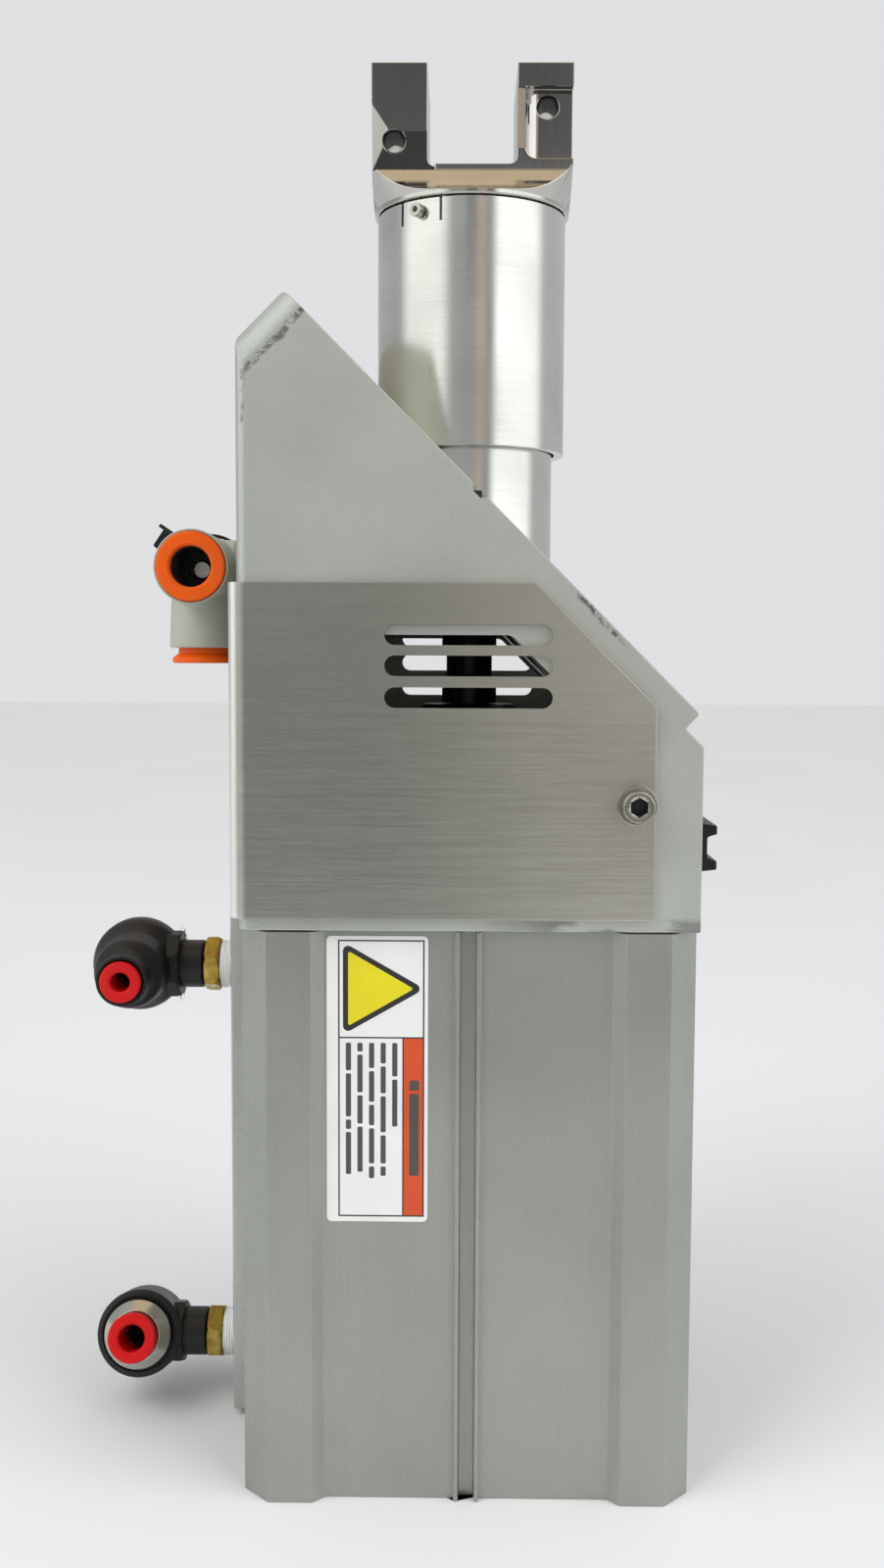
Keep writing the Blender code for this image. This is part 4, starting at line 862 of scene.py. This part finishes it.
def build_connector():
    low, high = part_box("connector_shell")
    face, wall, mid = 0.0648, low.x, 0.16325
    upper = [(face, mid + 0.00285, 0.0008), (high.x, 0.1669, 0.0004), (high.x, 0.1693, 0.0005),
             (face - 0.001, high.z, 0.0004), (wall, high.z)]
    lower = [(wall, low.z), (face - 0.001, low.z, 0.0004), (high.x, 0.1572, 0.0005), (high.x, 0.1596, 0.0004),
             (face, mid - 0.00285, 0.0008)]
    shell = prism("plug_shell", outline(*lower, *upper, steps=3), "Y", low.y, high.y)
    soften(shell, 0.0003, 2, 45)
    ribs = [block("rib", (face - 0.0035, y - 0.0007, high.z - 0.0004),
                  (face + 0.0002, y + 0.0007, high.z + 0.0010)) for y in (-0.0105, 0, 0.0105)]
    carve(shell, block("socket", (0.0560, -0.0095, 0.1605), (0.0700, 0.0095, 0.1660), 0.0008), *ribs)
    piece(shell, LOOKS["black_resin"], "frame", "connector_shell")
    low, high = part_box("connector_insert")
    insert = block("plug_insert", low, high, 0.0004)
    soften(insert, 0.0003, 2, 50)
    pins = []
    for z, count in ((0.1645, 5), (0.1620, 4)):
        for column in range(count):
            pins.append(pin("contact", 0.0006, 0.006, -X, (0.0640, (column - (count - 1) / 2) * 0.0028, z), 16))
    carve(insert, *pins)
    piece(insert, LOOKS["grey_resin"], "frame", "connector_insert")


# ---------------------------------------------------------------- rod, sleeve and fork

def build_fork():
    low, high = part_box("fork")
    outer, half_y, inner, top = 0.0263, 0.0165, 0.01175, high.z
    rim, shoulder, floor, far = 0.3329, 0.3415, 0.3431, 0.040
    wide = math.hypot(outer, half_y)
    profile = outline((0, top), (wide, top), (wide, floor), (0.0262, rim + 0.0012), (0.0262, rim, 0.0004),
                      (0.0242, rim), (0.0242, low.z, 0.0006), (0, low.z), steps=3)
    fork = lathe("fork_body", profile, sides=128)
    slot = outline((-inner, 0.40), (-inner, floor, 0.002), (inner, floor, 0.002), (inner, 0.40), steps=6)
    cutters = [prism("slot", slot, "Y", -far, far)]
    for sign in (-1, 1):
        cove = arc((0.027, 0.345), 0.0109, 198.7, 270, 16)
        side = [(half_y, 0.40), (half_y, shoulder)] + cove + [(far, 0.345 - 0.0109), (far, 0.40)]
        cutters.append(prism("shoulder", [(sign * y, z) for y, z in side], "X", -far, far))
        low_x, high_x = sorted((sign * outer, sign * 0.050))
        cutters.append(block("flank", (low_x, -0.05, rim + 0.0012), (high_x, 0.05, 0.40)))
    cutters.append(prism("left_face", [(-0.0300, 0.3512), (-half_y, 0.3512), (-0.0136, shoulder),
                                       (-0.0300, shoulder)], "X", -far, -inner + PAST))
    corner = bmesh.new()
    points = [corner.verts.new(p) for p in ((-0.0264, -half_y, 0.3583), (-0.0216, -half_y, 0.3512),
                                            (-0.0264, -0.0136, 0.3420), (-0.0300, -0.0300, 0.3512))]
    for trio in ((0, 1, 2), (0, 3, 1), (1, 3, 2), (0, 2, 3)):
        corner.faces.new([points[i] for i in trio])
    cutters.append(add_mesh("corner", corner))
    deep = outline((0.0139, -far), (0.0139, -0.0135, 0.0034), (far, -0.0135), (far, -far), steps=8)
    pocket = prism("pocket", deep, "Z", 0.3444, 0.3626)
    front = outline((0.0139, 0.3444, 0.003), (far + 0.01, 0.3444), (far + 0.01, 0.3626), (0.0139, 0.3626), steps=8)
    carve(pocket, prism("pocket_front", front, "Y", -far - 0.01, 0), operation='INTERSECT')
    holes = [pin("pin_hole", 0.00295, 0.06, Y, (x, -0.03, z), 48) for x, z in PIN_HOLES]
    holes.append(pin("stud_hole", 0.0063, 0.0175, Z, (0, 0, low.z - PAST), 48, 0.0005))
    for turn in SLEEVE_SCREW_TURNS:
        holes.append(pin("screw_hole", 0.0015, 0.009, -radial(turn), radial(turn) * 0.0262 + Z * SLEEVE_SCREW_Z, 24))
    carve(fork, *cutters, pocket, *holes)
    soften(fork, 0.00018, 2, 30)
    carve(fork, prism("strip", [(0.0100, -half_y + 0.00010), (0.0139, -half_y + 0.00056), (0.0139, -far),
                                (0.0100, -far)], "Z", 0.3470, 0.3624))
    piece(fork, FORK_LOOK, "rod", "fork", angle=6)
    for (x, z), start in zip(PIN_HOLES, (-0.0145, -0.0125)):
        piece(tube("hole_shade", 0.0026, 0.00293, 0, 0.0110, Y, (x, start, z), 48, 0.0001), LOOKS["dark_steel"],
              "rod")


def build_sleeve():
    low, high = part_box("sleeve")
    inner, outer = 0.0245, high.x
    sleeve = tube("guard_sleeve", inner, outer, low.z, high.z, sides=160, edge=0.00025)
    cutters = []
    for middle in SLEEVE_SCREW_TURNS:
        cutters.append(pin("screw_hole", 0.0016, 0.010, radial(middle), radial(middle) * 0.020 + Z * SLEEVE_SCREW_Z,
                           24))
        for offset in (-13.5, 13.5):
            cutter = block("slit", (0.022, -0.0004, high.z - 0.006), (0.028, 0.0004, high.z + PAST))
            cutter.data.transform(Matrix.Rotation(math.radians(middle + offset), 4, 'Z'))
            cutters.append(cutter)
    carve(sleeve, *cutters)
    piece(sleeve, LOOKS["polished_steel"], "rod", "sleeve", angle=28)
    piece(tube("sleeve_lip", 0.0229, inner + 0.0003, low.z + 0.0001, low.z + 0.0011, sides=128),
          LOOKS["polished_steel"], "rod")
    for number, turn in enumerate(SLEEVE_SCREW_TURNS, start=1):
        outward = radial(turn)
        cap_screw(f"sleeve_screw_{number}", outward * (outer + GAP) + Z * SLEEVE_SCREW_Z, outward, 0.00175, 0.0022,
                  0.0011,
                  0.0072, 0.0015, LOOKS["nickel"], "rod", 48)


def build_rod():
    bottom, seat, stud_top = 0.1783, 0.2015, 0.188
    shaft = outline((0, 0.339), (0.0060, 0.339), (0.0060, 0.3242), (0.00755, 0.3242), (0.00755, 0.2160, 0.0004),
                    (0.0063, 0.2155, 0.0004),
                    (0.0063, 0.2095, 0.0004), (0.00755, 0.2090, 0.0004), (0.00755, seat + GAP), (0.0050, seat + GAP),
                    (0.0050, stud_top + 2 * GAP),
                    (0, stud_top + 2 * GAP), steps=2)
    piece(lathe("guide_shaft", shaft), LOOKS["dark_steel"], "rod", "shaft")
    coupler = outline((0.0053, seat), (0.0125, seat, 0.0003), (0.0140, seat - 0.0015, 0.0003),
                      (0.0140, 0.1925, 0.0003), (0.0134, 0.1921), (0.0134, 0.1911),
                      (0.0140, 0.1907, 0.0003), (0.0140, bottom, 0.0006), (0.0065, bottom), (0.0065, stud_top + GAP),
                      (0.0053, stud_top + GAP), steps=2)
    made = lathe("coupling", coupler)
    flats = [block("flat", (low_x, -0.02, bottom - PAST), (low_x + 0.0080, 0.02,
                                                           bottom + 0.0080)) for low_x in (-0.0200, 0.0120)]
    carve(made, *flats)
    piece(made, LOOKS["dark_steel"], "rod", "rod_coupler")
    rod = outline((0, 0.188), (0.0062, 0.188), (0.0062, 0.1780), (0.0110, 0.1780, 0.0008), (0.0110, 0.0662),
                  (0.0080, 0.0662), (0.0080, 0.034), (0, 0.034), steps=2)
    piece(lathe("chromed_rod", rod), LOOKS["polished_steel"], "rod", "piston_rod")


def build_tube():
    low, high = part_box("guide_tube")
    piece(tube("bright_tube", 0.0205, high.x, low.z, high.z, sides=128, edge=0.0004), LOOKS["polished_steel"],
          "frame", "guide_tube")
    low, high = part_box("tube_collar")
    slab, foot = SLAB_UNDER - GAP * 1.5, 0.231
    points = outline((low.x, slab - low.x, 0.0005), (low.x, foot - low.x, 0.0005), (high.x, foot - high.x, 0.0005),
                     (high.x, slab - high.x, 0.0005), steps=2)
    collar = prism("tube_clamp", points, "Y", low.y, high.y)
    soften(collar, 0.0005, 2, 50)
    carve(collar, pin("bore", 0.02252, 0.1, Z, (0, 0, 0.19), 96))
    piece(collar, LOOKS["anodised"], "frame", "tube_collar")


def build_bellows():
    """Thin metal bellows: the convolutions that the CAD's plain ring stands for."""
    low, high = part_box("bellows")
    count, wall, inner, outer = 22, 0.00022, 0.0126, 0.0196
    pitch = (high.z - low.z) / count
    outside, inside = [], []
    for index in range(count):
        base = low.z + index * pitch
        for share, radius in ((0.0, inner), (0.12, inner), (0.42, outer), (0.58, outer), (0.88, inner)):
            outside.append((radius + wall, base + share * pitch))
            inside.append((radius - wall, base + share * pitch))
    outside.append((inner + wall, high.z))
    inside.append((inner - wall, high.z))
    made = lathe("bellows_folds", outside + list(reversed(inside)), sides=64)
    piece(made, LOOKS["nickel"], "frame", "bellows", angle=50)
    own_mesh(made)


# ---------------------------------------------------------------- label

def build_label():
    """Generic sticker on the front recess: pale plate, thin border, blank triangle, bars and a coloured band."""
    left, right, low, high = -0.0353, -0.0100, 0.0728, 0.1456
    y = -(HALF - 0.0030) - 0.00002
    white = resin("label_white", None, (226, 228, 226), 0.42, mottled=0.03)
    black = resin("label_black", None, (38, 38, 40), 0.45, mottled=0.05)
    yellow = resin("label_yellow", None, (224, 210, 14), 0.42, mottled=0.05)
    orange = resin("label_orange", None, (208, 74, 22), 0.42, mottled=0.05)
    grey = resin("label_grey", None, (74, 72, 72), 0.45, mottled=0.05)
    layers = [(white, outline(*corners((left, low), (right, high), 0.0012), steps=5), 0.00018)]
    x0, x1, z0, z1 = left + 0.0029, right - 0.0009, low + 0.0013, high - 0.0010
    line = 0.00036
    split, band = z1 - 0.0245, x1 - 0.0051
    raised = 0.00021

    def bar(a, b, c, d):
        return corners((a, c), (b, d))

    for strip in (bar(x0, x0 + line, z0, z1), bar(x1 - line, x1, z0, z1), bar(x0 + line, x1 - line, z0, z0 + line),
                  bar(x0 + line, x1 - line, z1 - line, z1),
                  bar(x0 + line, x1 - line, split - line, split), bar(band - line, band, z0 + line, split - line)):
        layers.append((black, strip, raised))
    layers.append((orange, bar(band, x1 - line, z0 + line, split - line), raised))
    middle = (split + z1) / 2

    def triangle(inset, radius):
        return outline((x0 + 0.0012 + inset, middle + 0.0117 - inset * 1.7, radius),
                       (x0 + 0.0012 + inset, middle - 0.0117 + inset * 1.7, radius),
                       (x0 + 0.0216 - inset * 2.1, middle, radius), steps=5)

    layers.append((black, triangle(0, 0.0013), raised))
    layers.append((yellow, triangle(0.0013, 0.0004), raised + 0.00003))

    def dashes(side, width, top, lengths, look, height):
        for length in lengths:
            layers.append((look, outline(*corners((side - width, top - length), (side, top), 0.0003), steps=2),
                           height))
            top -= length + 0.0008

    rows = ((0.0085, 0.0120), (0.0052, 0.0068, 0.0092, 0.0072, 0.0024), (0.0064, 0.0078, 0.0052, 0.0090, 0.0030),
            (0.0022, 0.0096, 0.0072, 0.0116), (0.0070, 0.0110, 0.0024, 0.0108))
    for row, lengths in enumerate(rows):
        dashes(band - 0.0016 - row * 0.0029, 0.0013, split - 0.0015, lengths, grey, raised)
    dashes(x1 - 0.0013, 0.0024, split - 0.0110, (0.0026, 0.0210), grey, raised + 0.00003)
    sticker = bpy.data.objects.new("label", bpy.data.meshes.new("label"))
    bpy.context.scene.collection.objects.link(sticker)
    bm = bmesh.new()
    looks = [white, black, yellow, orange, grey]
    for look, points, depth in layers:
        part = prism("label_part", points, "Y", y - depth, y)
        start = len(bm.faces)
        bm.from_mesh(part.data)
        bm.faces.ensure_lookup_table()
        for face in bm.faces[start:]:
            face.material_index = looks.index(look)
        bpy.data.objects.remove(part)
    bm.to_mesh(sticker.data)
    bm.free()
    for look in looks:
        sticker.data.materials.append(look)
    settle(sticker, "frame")


# ---------------------------------------------------------------- stage, light and camera

def build_stage():
    bm = bmesh.new()
    bmesh.ops.create_grid(bm, x_segments=2, y_segments=2, size=6.0)
    floor = add_mesh("floor", bm)
    look = Look("floor_cloth", None, 0.75, 0.0)
    cloud = look.noise(3, detail=2)
    look.put("Base Color", look.blend(cloud, colour(222, 223, 226), colour(230, 231, 233)))
    floor.data.materials.append(look.done())
    card = block("dark_card", (-1.2, -3.0, 0.0005), (1.2, -0.60, 0.0010))
    look = Look("dark_cloth", None, 0.8, 0.0)
    look.put("Base Color", look.blend(look.noise(3), colour(40, 40, 42), colour(56, 56, 58)))
    card.data.materials.append(look.done())
    card.visible_camera = card.visible_diffuse = card.visible_shadow = False


def build_world():
    """Soft studio surround: pale to the left and right, dark ahead and behind. Two patches show in reflections only."""
    world = bpy.data.worlds.new("studio")
    bpy.context.scene.world = world
    world.use_nodes = True
    tree = world.node_tree

    def node(kind, *links, **settings):
        made = tree.nodes.new(kind)
        for key, value in settings.items():
            setattr(made, key, value)
        for key, value in links:
            if isinstance(value, bpy.types.NodeSocket):
                tree.links.new(value, made.inputs[key])
            else:
                made.inputs[key].default_value = value
        return made

    def number(operation, *values):
        return node("ShaderNodeMath", *enumerate(values), operation=operation).outputs[0]

    def share(value, low, high, to_low=0.0, to_high=1.0):
        return node("ShaderNodeMapRange", ("Value", value), ("From Min", low), ("From Max", high),
                    ("To Min", to_low), ("To Max", to_high)).outputs[0]

    def mix(factor, a, b):
        return node("ShaderNodeMix", (0, factor), (6, a), (7, b), data_type='RGBA').outputs[2]

    direction = node("ShaderNodeTexCoord").outputs["Generated"]
    parts = node("ShaderNodeSeparateXYZ", (0, direction)).outputs
    path = node("ShaderNodeLightPath").outputs
    toward = number('MULTIPLY', parts["Y"], -1)
    azimuth = share(number('ARCTAN2', parts["X"], toward), -math.pi, math.pi)
    ramp = node("ShaderNodeValToRGB", ("Fac", azimuth))
    stops = ((-180, (.50, .50, .51)), (-96, (.46, .46, .47)), (-82, (1.22, 1.24, 1.20)), (-36, (1.18, 1.20, 1.16)),
             (-24, (.44, .44, .44)), (3, (.42, .42, .42)), (8, (.60, .50, .44)), (16, (.60, .50, .44)),
             (19, (.30, .30, .30)), (25, (.32, .32, .32)), (32, (1.55, 1.57, 1.54)), (86, (1.40, 1.42, 1.40)),
             (98, (.56, .56, .57)), (180, (.55, .55, .56)))
    elements = ramp.color_ramp.elements
    for index, (angle, tone) in enumerate(stops):
        place = (angle + 180) / 360
        element = elements[index] if index < 2 else elements.new(place)
        element.position = place
        element.color = (*tone, 1)
    surround = ramp.outputs["Color"]
    aside = number('ABSOLUTE', parts["X"])
    screen, ceiling = (0.265, 0.285, 0.10, 0.09, (.12, .12, .125)), (0.60, 0.68, -2.0, 0.30, (.70, .56, .38))
    for low, high, front, side, tone in (screen, ceiling):
        inside = number('MULTIPLY', share(parts["Z"], low, high), share(toward, front, front + 0.1))
        inside = number('MULTIPLY', inside, share(aside, side + 0.04, side))
        surround = mix(number('MULTIPLY', inside, path["Is Glossy Ray"]), surround, (*tone, 1))
    lift = share(parts["Z"], -0.2, 0.9, 0.85, 1.25)
    lit = node("ShaderNodeVectorMath", (0, surround), ("Scale", lift), operation='SCALE').outputs[0]
    seen = mix(path["Is Camera Ray"], lit, (.745, .75, .765, 1))
    tree.links.new(seen, tree.nodes["Background"].inputs["Color"])


def area_light(name, spot, aim, size, power):
    data = bpy.data.lights.new(name, 'AREA')
    data.shape, data.size, data.energy = 'SQUARE', size, power
    lamp = bpy.data.objects.new(name, data)
    bpy.context.scene.collection.objects.link(lamp)
    lamp.location = spot
    lamp.rotation_euler = (Vector(aim) - Vector(spot)).to_track_quat('-Z', 'Y').to_euler()
    lamp.visible_camera = False
    lamp.visible_glossy = False


def build_camera():
    spot, yaw, pitch, roll = (-0.0019, -0.4365, 0.2161), -0.0127, 0.0850, 0.0042
    forward = Vector((math.sin(yaw) * math.cos(pitch), math.cos(yaw) * math.cos(pitch), -math.sin(pitch)))
    level = Vector((math.cos(yaw), -math.sin(yaw), 0))
    rise = level.cross(forward)
    right = level * math.cos(roll) + rise * math.sin(roll)
    up = rise * math.cos(roll) - level * math.sin(roll)
    data = bpy.data.cameras.new("camera")
    data.lens, data.sensor_width, data.clip_start = 35.83, 36.0, 0.01
    camera = bpy.data.objects.new("camera", data)
    bpy.context.scene.collection.objects.link(camera)
    camera.matrix_world = Matrix((right, up, -forward)).transposed().to_4x4()
    camera.location = spot
    bpy.context.scene.camera = camera


def dress_frame():
    """CAD nodes that stay in sight or inside take the material of their slot."""
    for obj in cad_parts.values():
        for holder in obj.material_slots:
            if holder.material:
                name = holder.material.name.split(".")[0]
                holder.material = LOOKS.get(name, LOOKS["machined_aluminium"])


build_camera()
for build in (build_barrel, build_switches, build_bracket, build_cover, build_plate, build_upper_fitting,
              build_lower_fitting, build_exhaust_fitting, build_connector, build_fork, build_sleeve, build_rod,
              build_tube, build_bellows, build_label, dress_frame):
    build()
build_stage()
build_world()
area_light("key", (-0.9, -0.9, 1.3), (0, 0, 0.15), 0.9, 9)
area_light("fill", (1.1, -0.7, 0.9), (0, 0, 0.15), 1.0, 4)
bpy.context.scene.view_settings.view_transform = 'Standard'
